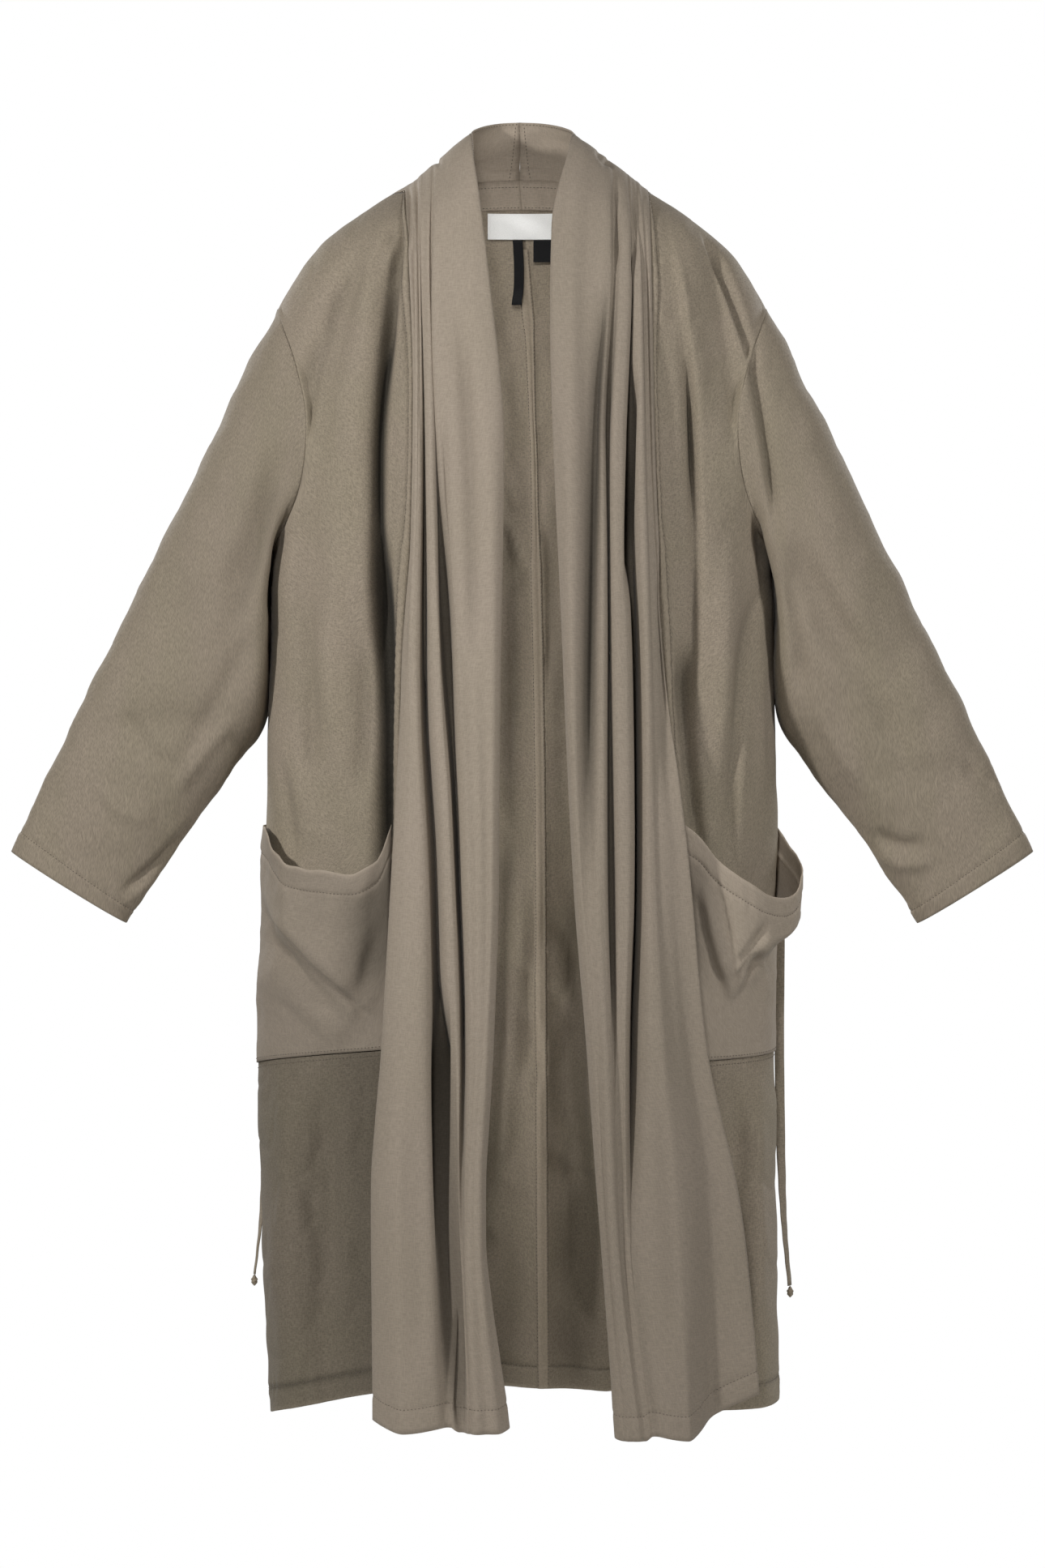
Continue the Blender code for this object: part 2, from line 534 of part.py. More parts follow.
def make_wall(name, grid, thickness, material, inside, offset=-1, ring=False):
    """A cloth wall: a grid of points as one sheet, facing away from a point inside, with its thickness.

    The thickness is taken inwards, or with offset 0 half to each side. A ring closes on its first column.
    """
    rows, columns = grid.shape[:2]
    index = np.arange(rows * columns).reshape(rows, columns)
    if ring:
        index = np.concatenate([index, index[:, :1]], axis=1)
    corners = [index[:-1, :-1], index[1:, :-1], index[1:, 1:], index[:-1, 1:]]
    quads = np.stack(corners, axis=-1).reshape(-1, 4)
    points = grid.reshape(-1, 3)
    places = points[quads]
    normals = np.cross(places[:, 2] - places[:, 0], places[:, 3] - places[:, 1])
    if (normals * (places.mean(axis=1) - np.asarray(inside))).sum() < 0:
        quads = quads[:, ::-1]
    mesh = bpy.data.meshes.new(name)
    mesh.from_pydata(points.tolist(), [], quads.tolist())
    obj = add_object(name, mesh, material)
    triangulate = obj.modifiers.new("Same diagonals on both faces", "TRIANGULATE")
    triangulate.quad_method = "SHORTEST_DIAGONAL"
    solidify = obj.modifiers.new("Cloth thickness", "SOLIDIFY")
    solidify.thickness = thickness
    solidify.offset = offset
    solidify.use_quality_normals = True
    return obj


def make_panels(side):
    """The two fronts, the back and the pocket of one side."""
    main, drape = materials["main_cloth"], materials["drape_cloth"]
    across = np.linspace(0, 1, FRONT_COLUMNS + 1)[None, :]
    upper = front_points(side, across, np.array(UPPER_LEVELS, float)[:, None])
    lower = front_points(side, across, np.array(LOWER_LEVELS, float)[:, None])
    upper[-1, :, 2] += SEAM_GAP / 2
    lower[0, :, 2] -= SEAM_GAP / 2
    make_wall("front_upper_" + side, upper, CLOTH, main, BODY_MIDDLE)
    make_wall("front_lower_" + side, lower, CLOTH, main, BODY_MIDDLE)
    across = np.linspace(0, 1, BACK_COLUMNS + 1)[None, :]
    back = back_points(side, across, np.array(BACK_LEVELS, float)[:, None])
    make_wall("back_" + side, back, CLOTH, main, BODY_MIDDLE)
    across = np.linspace(0, 1, POCKET_COLUMNS + 1)[None, :]
    down = np.linspace(0, 1, POCKET_ROWS + 1)[:, None]
    make_wall("pocket_" + side, pocket_points(side, across, down), POCKET_CLOTH, drape, BODY_MIDDLE)


def make_sleeve(side):
    turn = np.linspace(0, 2 * np.pi, SLEEVE_COLUMNS, endpoint=False)[None, :]
    grid = sleeve_points(side, np.array(SLEEVE_ROWS, float)[:, None], turn)
    middle = grid.mean(axis=(0, 1))
    make_wall("sleeve_" + side, grid, CLOTH, materials["main_cloth"], middle, ring=True)


def make_collar(side):
    grid = collar_points(side, STEPS_PER_FOLD)
    make_wall("collar_" + side, grid, CLOTH, materials["drape_cloth"], BEHIND, offset=0)


def sheet_normals(grid):
    """The direction straight out of a grid of points, away from the body's middle line."""
    down, across = np.gradient(grid, axis=0), np.gradient(grid, axis=1)
    normals = np.cross(down, across)
    normals /= np.linalg.norm(normals, axis=-1, keepdims=True)
    return normals * np.sign((normals[..., :2] * grid[..., :2]).sum(axis=-1, keepdims=True))


def make_neck_facing(side):
    """The band inside the back neck: the back panel's points moved in."""
    across = np.linspace(0, FACING_END, FACING_COLUMNS + 1)[None, :]
    level = np.linspace(0, -FACING_HEIGHT, FACING_ROWS + 1)[:, None]
    band = back_points(side, across, level)
    band = band - sheet_normals(band) * (CLOTH + 2 * LAP_GAP)
    make_wall("neck_facing_" + side, band, LABEL_CLOTH, materials["drape_cloth"], NECK_MIDDLE)


def make_labels():
    """Small cloth labels that lie on the inside of the back, on the straight run between its rows."""
    levels = np.array(BACK_LEVELS, float)
    rows = back_points("right", np.zeros_like(levels), levels)[::-1]
    for name, (middle, width, top, bottom) in LABELS.items():
        x = middle + np.linspace(-width / 2, width / 2, LABEL_COLUMNS + 1)[None, :]
        z = np.linspace(top, bottom, LABEL_ROWS + 1)[:, None]
        x, z = np.broadcast_arrays(x, z)
        curve = body_point(1, BACK, turn_at(1, x, z), z) - body_point(1, BACK, np.pi / 2, z)
        depth = np.interp(z, rows[:, 2], rows[:, 1]) + curve[..., 1] - CLOTH - LABEL_GAP
        colour = "white_label" if name == "label_main" else "black_label"
        make_wall(name, np.stack([x, depth, z], axis=-1), LABEL_CLOTH, materials[colour], NECK_MIDDLE)


def make_tie(side):
    """A flat tie that hangs beside the side seam, twists edge-on, and ends in a knot."""
    sign = SIGN[side]
    levels = TIES[side]["level"]
    z = np.linspace(levels[-1], levels[0], TIE_ROWS + 1)
    depth = TIE_DEPTH[side]
    turn = np.arcsin((depth / read(BODY, "back", z)) ** (ROUNDNESS / 2))
    x = body_point(sign, BACK, turn, z)[:, 0] + sign * read(TIES[side], "out", z)
    twist = TIE_TWIST[side] * ease(TIE_TWIST_START, levels[0], z)
    half = TIE_WIDTH / 2 * np.stack([np.cos(twist), np.sin(twist), np.zeros_like(z)], axis=-1)
    route = np.stack([x, np.full_like(z, depth), z], axis=-1)
    grid = np.stack([route - half, route, route + half], axis=1)
    make_wall("tie_" + side, grid, TIE_CLOTH, materials["main_cloth"], BEHIND, offset=0)
    mesh = bpy.data.meshes.new("tie_knot_" + side)
    shape = bmesh.new()
    bmesh.ops.create_uvsphere(shape, u_segments=KNOT_SEGMENTS, v_segments=KNOT_RINGS, radius=KNOT_RADIUS)
    stretch = Matrix.Diagonal((1, 1, KNOT_LENGTH / (2 * KNOT_RADIUS), 1))
    place = Matrix.Translation((x[-1], depth, z[-1] - KNOT_LENGTH / 2 - LAP_GAP))
    bmesh.ops.transform(shape, matrix=place @ stretch, verts=shape.verts)
    shape.to_mesh(mesh)
    shape.free()
    add_object("tie_knot_" + side, mesh, materials["main_cloth"])


for old in list(bpy.data.objects):
    bpy.data.objects.remove(old)
collection = bpy.data.collections.new("long_jacket")
bpy.context.scene.collection.children.link(collection)
hold = bpy.data.objects.new("shoulder_hold", None)
collection.objects.link(hold)
materials = {name: make_material(name) for name in COLOURS}

for jacket_side in SIGN:
    make_panels(jacket_side)
    make_sleeve(jacket_side)
    make_collar(jacket_side)
    make_neck_facing(jacket_side)
    make_tie(jacket_side)
make_labels()
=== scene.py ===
"""Looks of a long open-front jacket with a draped shawl collar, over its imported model.

Metres, +Z up, apart from rows that are given to mm_table and mm_rows. The front faces -Y, and left and
right are as seen from the front. Every cloth piece is a grid of points on its panel's surface, moved along
its normals by creases, sewn seams and the cloth's crumple.
"""

import bpy
import numpy as np
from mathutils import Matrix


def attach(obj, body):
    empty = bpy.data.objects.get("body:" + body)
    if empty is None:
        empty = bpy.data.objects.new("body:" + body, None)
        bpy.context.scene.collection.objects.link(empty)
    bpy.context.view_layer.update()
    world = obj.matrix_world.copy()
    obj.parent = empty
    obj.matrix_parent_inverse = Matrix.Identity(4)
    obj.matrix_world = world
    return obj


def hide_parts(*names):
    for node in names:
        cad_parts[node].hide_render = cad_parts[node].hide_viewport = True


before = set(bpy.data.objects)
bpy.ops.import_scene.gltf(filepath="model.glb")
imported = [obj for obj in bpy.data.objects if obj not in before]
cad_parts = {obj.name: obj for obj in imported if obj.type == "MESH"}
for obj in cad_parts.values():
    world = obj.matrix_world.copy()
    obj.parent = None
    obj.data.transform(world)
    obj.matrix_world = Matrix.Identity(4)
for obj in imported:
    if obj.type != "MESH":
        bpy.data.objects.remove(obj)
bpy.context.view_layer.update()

# Thicknesses, gaps and levels, as in the solids
CLOTH = 0.0015
POCKET_CLOTH = 0.0012
LAP_GAP = 0.0004
LABEL_GAP = 0.0006
SHOULDER_END = -0.100
UNDERARM = -0.310
POCKET_SEAM = -0.740
HEM = -1.050
SLEEVE_COLUMNS = 18

SIGN = {"left": -1, "right": 1}
FRONT, BACK = -1, 1

# Points that the walls face away from
BODY_MIDDLE = (0, 0, (POCKET_SEAM + HEM) / 2)
BEHIND = (0, 0.3, HEM / 2)
FAR_BEHIND = (0, 0.6, HEM / 2)
BEHIND_NECK = (0, 0.6, 0)


def table(columns, *rows):
    """Named columns of sizes, sorted by the first of them."""
    return dict(zip(columns.split(), np.array(sorted(rows), float).T))


def mm_table(columns, *rows):
    """Named columns of sizes that are written in millimetres, as metres."""
    return {name: column / 1000 for name, column in table(columns, *rows).items()}


def mm_rows(**parts):
    """Rows of sizes that are written in millimetres, for each part, as metres."""
    return {part: np.array(rows) / 1000 for part, rows in parts.items()}


# The body's oval at each level: its middle, half width, depth to front and back, and the centre-back seam
BODY = mm_table(
    "level middle half_width front back centre_seam",
    (22, 0, 104, 10, 70, -2),
    (0, 0, 112, 25, 78, 0),
    (-10, 0, 128, 45, 81, 1),
    (-25, 0, 150, 66, 85, 2),
    (-50, 0, 179, 83, 90, 4),
    (-77, 0, 198, 92, 94, 6),
    (-100, 0, 211, 97, 96, 8),
    (-130, 0, 221, 100, 97, 9),
    (-170, 0, 225.5, 103, 98, 10),
    (-220, 0, 224.5, 106, 99, 12),
    (-270, 0, 219, 107, 100, 13),
    (-310, 0, 216, 108, 100, 14),
    (-455, 0, 218.5, 109, 101, 17),
    (-640, -3, 221.5, 110, 104, 19),
    (-740, -5, 222.5, 111, 106, 20),
    (-900, -2, 221, 113, 109, 21),
    (-1050, 2, 219, 116, 112, 22),
)
ROUNDNESS = 2.3
NECK_RISE, NECK_RISE_FADE = 0.021, 0.060
ARMHOLE_NOTCH = 0.043

# How far from the middle the collar is sewn to each front
COLLAR_SEAM = mm_table(
    "level left right",
    (0, 101, 108),
    (-70, 95, 108.5),
    (-180, 91, 110),
    (-310, 93, 114),
    (-400, 100, 119),
    (-520, 102, 123),
    (-740, 103, 125),
    (-1050, 104, 126),
)

# Levels of the collar's sections. Those beside the armhole meet the sleeve's columns, as in the solids
ARMHOLE_MIDDLE = (SHOULDER_END + UNDERARM) / 2
ARMHOLE_HALF = (SHOULDER_END - UNDERARM) / 2
ARMHOLE_TURNS = np.linspace(0, np.pi, SLEEVE_COLUMNS // 2 + 1)
COLLAR_LEVELS = (
    (0, -0.03, -0.06) + tuple(ARMHOLE_MIDDLE + ARMHOLE_HALF * np.cos(ARMHOLE_TURNS))
    + (-0.36, -0.41, -0.46, -0.51, -0.56, -0.61, -0.66, -0.70, POCKET_SEAM)
    + (-0.79, -0.84, -0.89, -0.94, -0.99, -1.025, HEM)
)

# The pocket's foot seam slopes a little on each side, and the rows near it follow
SEAM_TILT = {"left": -0.020, "right": 0.005}
TILT_REACH = 0.090

# How much higher than the back the hem hangs: at each front's inner edge and side seam, and on each collar
HEM_RISE = {
    "left": {"inner": 0.036, "side": 0.000, "collar": 0.006},
    "right": {"inner": 0.013, "side": 0.013, "collar": 0.000},
}
HEM_RISE_REACH, HEM_RISE_BEND = 0.25, 1.3

# Large folds: where each starts and ends as seen from the front, its half width and its height
FOLDS = mm_rows(
    front_left=(
        (-104, -100, -113, -500, 12, -7),
        (-135, -50, -178, -300, 18, -8),
        (-150, -280, -158, -700, 22, -6),
        (-150, -720, -140, -1200, 25, -10),
        (-195, -720, -190, -1200, 20, 5),
    ),
    front_right=(
        (118, -80, 140, -520, 12, -7),
        (148, -60, 190, -240, 15, -8),
        (170, -300, 176, -680, 20, 6),
        (165, -720, 160, -1200, 24, -10),
        (200, -720, 200, -1200, 16, 5),
    ),
    back=(
        (-150, -450, -165, -1300, 26, 14),
        (-85, -400, -80, -1300, 28, -16),
        (-25, -550, -15, -1300, 24, 10),
        (70, -450, 75, -1300, 26, -16),
        (140, -400, 150, -1300, 28, 14),
        (-120, -50, -150, -320, 22, 6),
        (120, -50, 150, -320, 22, 6),
    ),
    sleeve_left=(
        (-215, -300, -330, -400, 20, -5),
        (-260, -460, -390, -460, 16, -4),
        (-225, -160, -300, -400, 20, 4),
    ),
    sleeve_right=(
        (215, -320, 345, -440, 20, -5),
        (280, -500, 420, -500, 16, -4),
        (225, -150, 310, -420, 20, 4),
    ),
)
SEAM_TAPER = 0.25
CREASE_STEPS, CREASE_TAPER = 25, 0.3

# The sleeve along its length: its outer and inner edges as seen from the front, its half depth, and how round
# its section is, from 1 for an oval down to a box
SLEEVE = table(
    "along outer_x outer_z inner_x inner_z half_depth round",
    (0, 0.2115, -0.1, 0.2165, -0.31, 0.064, 0.9),
    (0.12, 0.239, -0.154, 0.2195, -0.378, 0.064, 0.65),
    (0.25, 0.268, -0.214, 0.221, -0.44, 0.061, 0.6),
    (0.45, 0.318, -0.315, 0.242, -0.486, 0.052, 0.75),
    (0.65, 0.363, -0.406, 0.276, -0.533, 0.042, 0.9),
    (0.85, 0.408, -0.497, 0.315, -0.588, 0.03, 1),
    (1, 0.441, -0.5675, 0.342, -0.629, 0.022, 1),
)
ARMHOLE_REACH = 0.35

# The pocket across its width, from the collar seam to the side: the level of its mouth, how far its belly
# stands out, and how far down the belly hangs as a share of the pocket's depth
POCKET_LEFT = table(
    "across mouth belly hang",
    (0, -0.543, 0, 0.95),
    (0.05, -0.573, 0.004, 0.98),
    (0.14, -0.584, 0.013, 0.92),
    (0.28, -0.582, 0.02, 0.7),
    (0.44, -0.576, 0.02, 0.53),
    (0.55, -0.565, 0.015, 0.48),
    (0.66, -0.552, 0.0085, 0.44),
    (0.78, -0.547, 0.0035, 0.4),
    (1, -0.544, 0, 0.3),
)
POCKET_RIGHT = table(
    "across mouth belly hang",
    (0, -0.54, 0, 0.3),
    (0.1, -0.551, 0.0025, 0.38),
    (0.18, -0.5705, 0.006, 0.5),
    (0.3, -0.588, 0.014, 0.74),
    (0.45, -0.602, 0.02, 0.46),
    (0.6, -0.606, 0.0225, 0.38),
    (0.72, -0.599, 0.023, 0.36),
    (0.81, -0.585, 0.023, 0.38),
    (0.89, -0.572, 0.017, 0.36),
    (0.95, -0.5585, 0.008, 0.33),
    (1, -0.5445, 0, 0.3),
)
POCKETS = {"left": POCKET_LEFT, "right": POCKET_RIGHT}
POCKET_INSET = 0.03
BELLY_END = 0.62

# The collar's sections down the front, with a column for each fold line from the seam to the free edge:
# how far it lies from the middle
FOLD_LINES = "outer_crest first_slit middle_crest second_slit main_outer main_dip main_inner roll free_edge"
COLLAR_AWAY = {
    "left": mm_table(
        "level outer_side " + FOLD_LINES,
        (0, 96, 92, 87, 82, 76, 69, 61, 53, 46.5, 43),
        (-60, 92.5, 89, 85.5, 81.5, 77, 69, 57, 44, 34, 38.5),
        (-236, 88.5, 86, 82.5, 78, 73, 63, 47, 28, 15.5, 30),
        (-425, 100, 92, 81, 69, 60, 50, 39, 26, 17, 32),
        (-580, 108.5, 92, 71, 61, 52.5, 43, 34, 25.5, 19, 34),
        (-725, 116, 95, 67, 57, 48, 41, 35, 29, 24.5, 37),
        (-865, 125.5, 100, 64, 55, 50, 45, 40, 35, 31, 43),
        (-1050, 124, 98, 62, 50, 44, 37, 29, 20, 10.5, 24),
    ),
    "right": mm_table(
        "level wing wing_valley " + FOLD_LINES,
        (0, 103, 98.5, 94, 89, 83, 77, 71, 64, 56, 47.5, 43.5),
        (-60, 105, 102, 98.5, 93, 86, 79, 70, 57, 43, 27, 33.5),
        (-236, 109, 105.5, 100, 89, 80, 72, 64, 54, 41, 28.5, 42),
        (-425, 121, 115, 106, 94, 83, 73, 65, 55.5, 43, 32, 46),
        (-580, 139, 124, 109, 94.5, 85, 74, 66, 58, 49, 41, 56),
        (-725, 153, 138, 115, 90.5, 83, 76, 71, 66, 60.5, 55, 69),
        (-865, 181, 157, 125, 89, 83, 78.5, 75, 71.5, 68, 64, 79),
        (-1050, 197, 159, 137, 109, 101.5, 96, 91.5, 87.5, 83, 76.5, 88.5),
    ),
}
# and how far each fold line stands out from the front panel
COLLAR_OUT = {
    "left": mm_table(
        "level outer_side " + FOLD_LINES,
        (0, 2, 3, 3.5, 4, 5, 6, 7, 7, 5, 3),
        (-120, 3, 5, 5, 8, 8, 12, 13, 15, 10, -6),
        (-300, 5, 13, 4.5, 18, 12, 22.5, 24, 25.5, 16, -3),
        (-580, 10, 28, 9, 32, 14, 35, 36.5, 36, 24, 4),
        (-800, 14, 36, 8, 30, 23, 36, 39, 37, 26, 6),
        (-1050, 16, 40, 14, 33, 37, 40, 41, 39, 28, 8),
    ),
    "right": mm_table(
        "level wing wing_valley " + FOLD_LINES,
        (0, 2, 2.5, 3, 3.5, 4, 5, 6, 7, 7, 5, 3),
        (-120, 4, 4, 8, 5, 12, 10, 15, 14, 16, 10, -6),
        (-300, 10, 11, 18, 4.5, 22, 17, 26, 27, 28, 17, -3),
        (-580, 18, 22, 30, 12, 34, 27, 36, 37, 37, 24, 6),
        (-800, 14, 17, 40, 16, 35, 36, 38, 39, 38, 27, 8),
        (-1050, 16, 19, 44, 40, 42, 44, 45, 45, 43, 29, 10),
    ),
}
COLLAR_SEAM_LIFT = 0.0012
# How much higher than its seam the collar's free edge lies, where the collar turns up round the neck
SLANT = table("level rise", (0, 0.049), (-0.03, 0.038), (-0.06, 0.022), (-0.12, 0.004), (-0.20, 0), (HEM, 0))
# How much higher the collar's hem hangs at the fold lines near its two sides
OUTER_HEM_LIFT = {
    "wing": 0.034,
    "wing_valley": 0.017,
    "outer_side": 0.008,
    "first_slit": 0.004,
    "roll": 0.003,
    "free_edge": 0.008,
}

# The collar round the back neck, as turns from the shoulder to the centre back, and its standing top edge
NECK_TURNS = (1.0, 0.8, 0.6, 0.4, 0.2, 0.0)
TOP_HALF_WIDTH = {"left": 0.0430, "right": 0.0480}
TOP_BACK = 0.060
TOP_SIDE_LEVEL, TOP_BACK_LEVEL = 0.051, 0.0735
NECK_HOLLOW = 0.008

# The neck facing, and the labels by their middle, width, top and bottom inside the back
FACING_HEIGHT = 0.0165
FACING_END = 0.6
LABELS = {
    "label_main": (0.0025, 0.066, -0.0045, -0.0265),
    "label_care": (-0.0040, 0.0088, -0.0270, -0.0835),
    "label_size": (0.0195, 0.0190, -0.0270, -0.0460),
}

# The ties, from the side seam to the knot: level, and how far the middle of the tie hangs outside the body.
# The left one hangs farther back
TIE_WIDTH = 0.0080
TIE_LEFT = mm_table(
    "level out",
    (-592, 5),
    (-650, 5.2),
    (-740, 6),
    (-820, 9),
    (-880, 14.5),
    (-938, 22.5),
)
TIE_RIGHT = mm_table(
    "level out",
    (-592, 4.5),
    (-650, 4.8),
    (-740, 5.2),
    (-820, 6),
    (-880, 7.8),
    (-943, 12.5),
)
TIES = {"left": TIE_LEFT, "right": TIE_RIGHT}
TIE_TWIST = {"left": -1.45, "right": 1.2}
TIE_TWIST_START = -0.74
TIE_DEPTH = {"left": 0.0400, "right": 0.0045}
KNOT_RADIUS, KNOT_LENGTH = 0.0030, 0.0100


def smooth_through(knots, values, at):
    """Values at knots, read in between along a cubic that keeps their rises and never overshoots."""
    knots, values, at = (np.asarray(item, float) for item in (knots, values, at))
    trailing = (1,) * (values.ndim - 1)
    gaps = np.diff(knots)
    wide = gaps.reshape((-1,) + trailing)
    slopes = np.diff(values, axis=0) / wide
    turns = slopes[:-1] * slopes[1:] <= 0
    weight_before, weight_after = 2 * wide[1:] + wide[:-1], wide[1:] + 2 * wide[:-1]
    before, after = (np.where(turns, 1, item) for item in (slopes[:-1], slopes[1:]))
    harmonic = (weight_before + weight_after) / (weight_before / before + weight_after / after)
    tangents = np.concatenate([slopes[:1], np.where(turns, 0, harmonic), slopes[-1:]])
    piece = np.clip(np.searchsorted(knots, at) - 1, 0, len(knots) - 2)
    t = np.clip((at - knots[piece]) / gaps[piece], 0, 1).reshape(at.shape + trailing)
    width = gaps[piece].reshape(at.shape + trailing)
    start = (1 + 2 * t) * (1 - t) ** 2 * values[piece] + t * (1 - t) ** 2 * width * tangents[piece]
    end = t * t * (3 - 2 * t) * values[piece + 1] - t * t * (1 - t) * width * tangents[piece + 1]
    return start + end


def read(columns, name, at):
    """One column of a table, read at any place along its first column."""
    first = next(iter(columns))
    return smooth_through(columns[first], columns[name], at)


def ease(low, high, value):
    """0 below low, 1 above high, and a smooth step between."""
    t = np.clip((value - low) / (high - low), 0, 1)
    return t * t * (3 - 2 * t)


def unit(vectors):
    """Each vector divided by its length."""
    return vectors / np.maximum(np.linalg.norm(vectors, axis=-1, keepdims=True), 1e-12)


def moved(points, ways, height):
    """Points moved by a height along each one's own way."""
    return points + ways * height[..., None]


def run_length(grid, axis):
    """Length along the grid's rows or columns, from the first one."""
    steps = np.linalg.norm(np.diff(grid, axis=axis), axis=-1)
    first = np.zeros_like(np.take(steps, [0], axis=axis))
    return np.concatenate([first, np.cumsum(steps, axis=axis)], axis=axis)


def groove(distance, width):
    """A bell that is 1 on a line and falls off to both sides."""
    return np.exp(-((distance / width) ** 2))


def oval_turn(share):
    """The turn round the body's oval at which a point lies this share of the half width from the middle."""
    return np.arccos(np.sign(share) * np.minimum(np.abs(share), 1) ** (ROUNDNESS / 2))


def turn_at(sign, x, level):
    """The turn at which the body's oval passes a place across it."""
    return oval_turn((x - read(BODY, "middle", level)) * sign / read(BODY, "half_width", level))


def armhole_turn(level):
    """Where the armhole, or below and above it the side or shoulder seam, lies on the body's oval."""
    notch = ARMHOLE_NOTCH * np.maximum(0, 1 - ((level - ARMHOLE_MIDDLE) / ARMHOLE_HALF) ** 2)
    return oval_turn(1 - notch / read(BODY, "half_width", level))


def body_point(sign, face, turn, level):
    """A point of the body's outer face. The turn is 0 at the side and a quarter turn at the middle."""
    turn, level = np.broadcast_arrays(turn, level)
    power = 2 / ROUNDNESS
    across = np.sign(np.cos(turn)) * np.abs(np.cos(turn)) ** power
    depth = read(BODY, "front" if face == FRONT else "back", level)
    x = read(BODY, "middle", level) + sign * read(BODY, "half_width", level) * across
    return np.stack([x, face * depth * np.abs(np.sin(turn)) ** power, level], axis=-1)


def body_normal(sign, face, turn, level):
    """The level direction straight out of the body's oval."""
    turn, level = np.broadcast_arrays(turn, level)
    power = 2 - 2 / ROUNDNESS
    across = np.sign(np.cos(turn)) * np.abs(np.cos(turn)) ** power / read(BODY, "half_width", level)
    depth = np.abs(np.sin(turn)) ** power / read(BODY, "front" if face == FRONT else "back", level)
    return unit(np.stack([sign * across, face * depth, np.zeros_like(across)], axis=-1))


def bent_line(start, middle, end):
    """Places along a parabola through its start, middle and end."""
    t = np.linspace(0, 1, CREASE_STEPS)
    bend = 2 * middle - (start + end) / 2
    return (1 - t) ** 2 * start + 2 * t * (1 - t) * bend + t * t * end


def crease_height(rows, x, z):
    """How far creases lift each point: along a parabola through three points, a bell with its own half width
    on each side, tapering at both ends."""
    height = np.zeros(x.shape)
    for start_x, start_z, middle_x, middle_z, end_x, end_z, before, after, most in rows:
        line_x, line_z = bent_line(start_x, middle_x, end_x), bent_line(start_z, middle_z, end_z)
        run_x, run_z = np.gradient(line_x), np.gradient(line_z)
        length = np.hypot(run_x, run_z)
        near = ((x[..., None] - line_x) ** 2 + (z[..., None] - line_z) ** 2).argmin(axis=-1)
        from_x, from_z = x - line_x[near], z - line_z[near]
        ahead = (from_x * run_x[near] + from_z * run_z[near]) / length[near] ** 2
        aside = (from_z * run_x[near] - from_x * run_z[near]) / length[near]
        place = (near + ahead) / (CREASE_STEPS - 1)
        taper = ease(0, CREASE_TAPER, place) * ease(0, CREASE_TAPER, 1 - place)
        height += most * groove(aside, np.where(aside < 0, before, after)) * taper
    return height


def fold_height(piece, points):
    """How far a piece's large folds lift each point: straight creases, alike on both sides."""
    rows = [(x0, z0, (x0 + x1) / 2, (z0 + z1) / 2, x1, z1, half_width, half_width, most)
            for x0, z0, x1, z1, half_width, most in FOLDS[piece]]
    return crease_height(rows, points[..., 0], points[..., 2])


def front_points(side, across, level, out=0):
    """A front panel's outer face, or a layer this far out. Across is 0 at the collar, 1 at the side."""
    sign = SIGN[side]
    tilt = SEAM_TILT[side] * (across - 0.5)
    level = level + tilt * np.exp(-(((level - POCKET_SEAM) / TILT_REACH) ** 2))
    hem = HEM_RISE[side]
    rise = hem["side"] + (hem["inner"] - hem["side"]) * (1 - across) ** HEM_RISE_BEND
    level = level + rise * ease(HEM + HEM_RISE_REACH, HEM, level)
    inner = turn_at(sign, sign * read(COLLAR_SEAM, side, level), level)
    turn = inner + (armhole_turn(level) - inner) * across
    points = body_point(sign, FRONT, turn, level)
    height = fold_height("front_" + side, points) * np.sin(np.pi * across) ** 0.5 + out
    return moved(points, body_normal(sign, FRONT, turn, level), height)


def back_points(side, across, level, out=0):
    """A back panel's outer face, or a layer this far out. Across is 0 at the centre back, 1 at the side."""
    sign = SIGN[side]
    level = level + NECK_RISE * np.cos(across * np.pi / 2) ** 2 * np.exp(level / NECK_RISE_FADE)
    level = level + HEM_RISE[side]["side"] * across**2 * ease(HEM + HEM_RISE_REACH, HEM, level)
    middle = turn_at(sign, read(BODY, "centre_seam", level), level)
    turn = middle + (armhole_turn(level) - middle) * across
    points = body_point(sign, BACK, turn, level)
    height = fold_height("back", points) * np.minimum(1, (1 - across) / SEAM_TAPER) + out
    return moved(points, body_normal(sign, BACK, turn, level), height)


def sleeve_points(side, along, turn):
    """A sleeve's outer face: rings that start as the armhole and become ovals between its two edges."""
    sign = SIGN[side]
    along, turn = np.broadcast_arrays(along, turn)
    edges = {name: read(SLEEVE, name, along) for name in list(SLEEVE)[1:]}
    x = (edges["outer_x"] + edges["inner_x"]) / 2 + np.cos(turn) * (edges["outer_x"] - edges["inner_x"]) / 2
    z = (edges["outer_z"] + edges["inner_z"]) / 2 + np.cos(turn) * (edges["outer_z"] - edges["inner_z"]) / 2
    y = -edges["half_depth"] * np.sign(np.sin(turn)) * np.abs(np.sin(turn)) ** edges["round"]
    level = ARMHOLE_MIDDLE + ARMHOLE_HALF * np.cos(turn)
    edge_turn = armhole_turn(level)
    front = body_point(sign, FRONT, edge_turn, level)
    back = body_point(sign, BACK, edge_turn, level)
    armhole = np.where(np.sin(turn)[..., None] > 0, front, back)
    leave = (1 - np.clip(1 - along / ARMHOLE_REACH, 0, 1) ** 2)[..., None]
    points = armhole * (1 - leave) + np.stack([sign * x, y, z], axis=-1) * leave
    points[..., 1] -= fold_height("sleeve_" + side, points) * np.sin(turn)
    return points


def pocket_belly(side, across, down):
    """How far a pocket's belly stands out: wholly at the mouth, and less towards where it hangs to."""
    sizes = POCKETS[side]
    return read(sizes, "belly", across) * (1 - ease(BELLY_END, 1, down / read(sizes, "hang", across)))


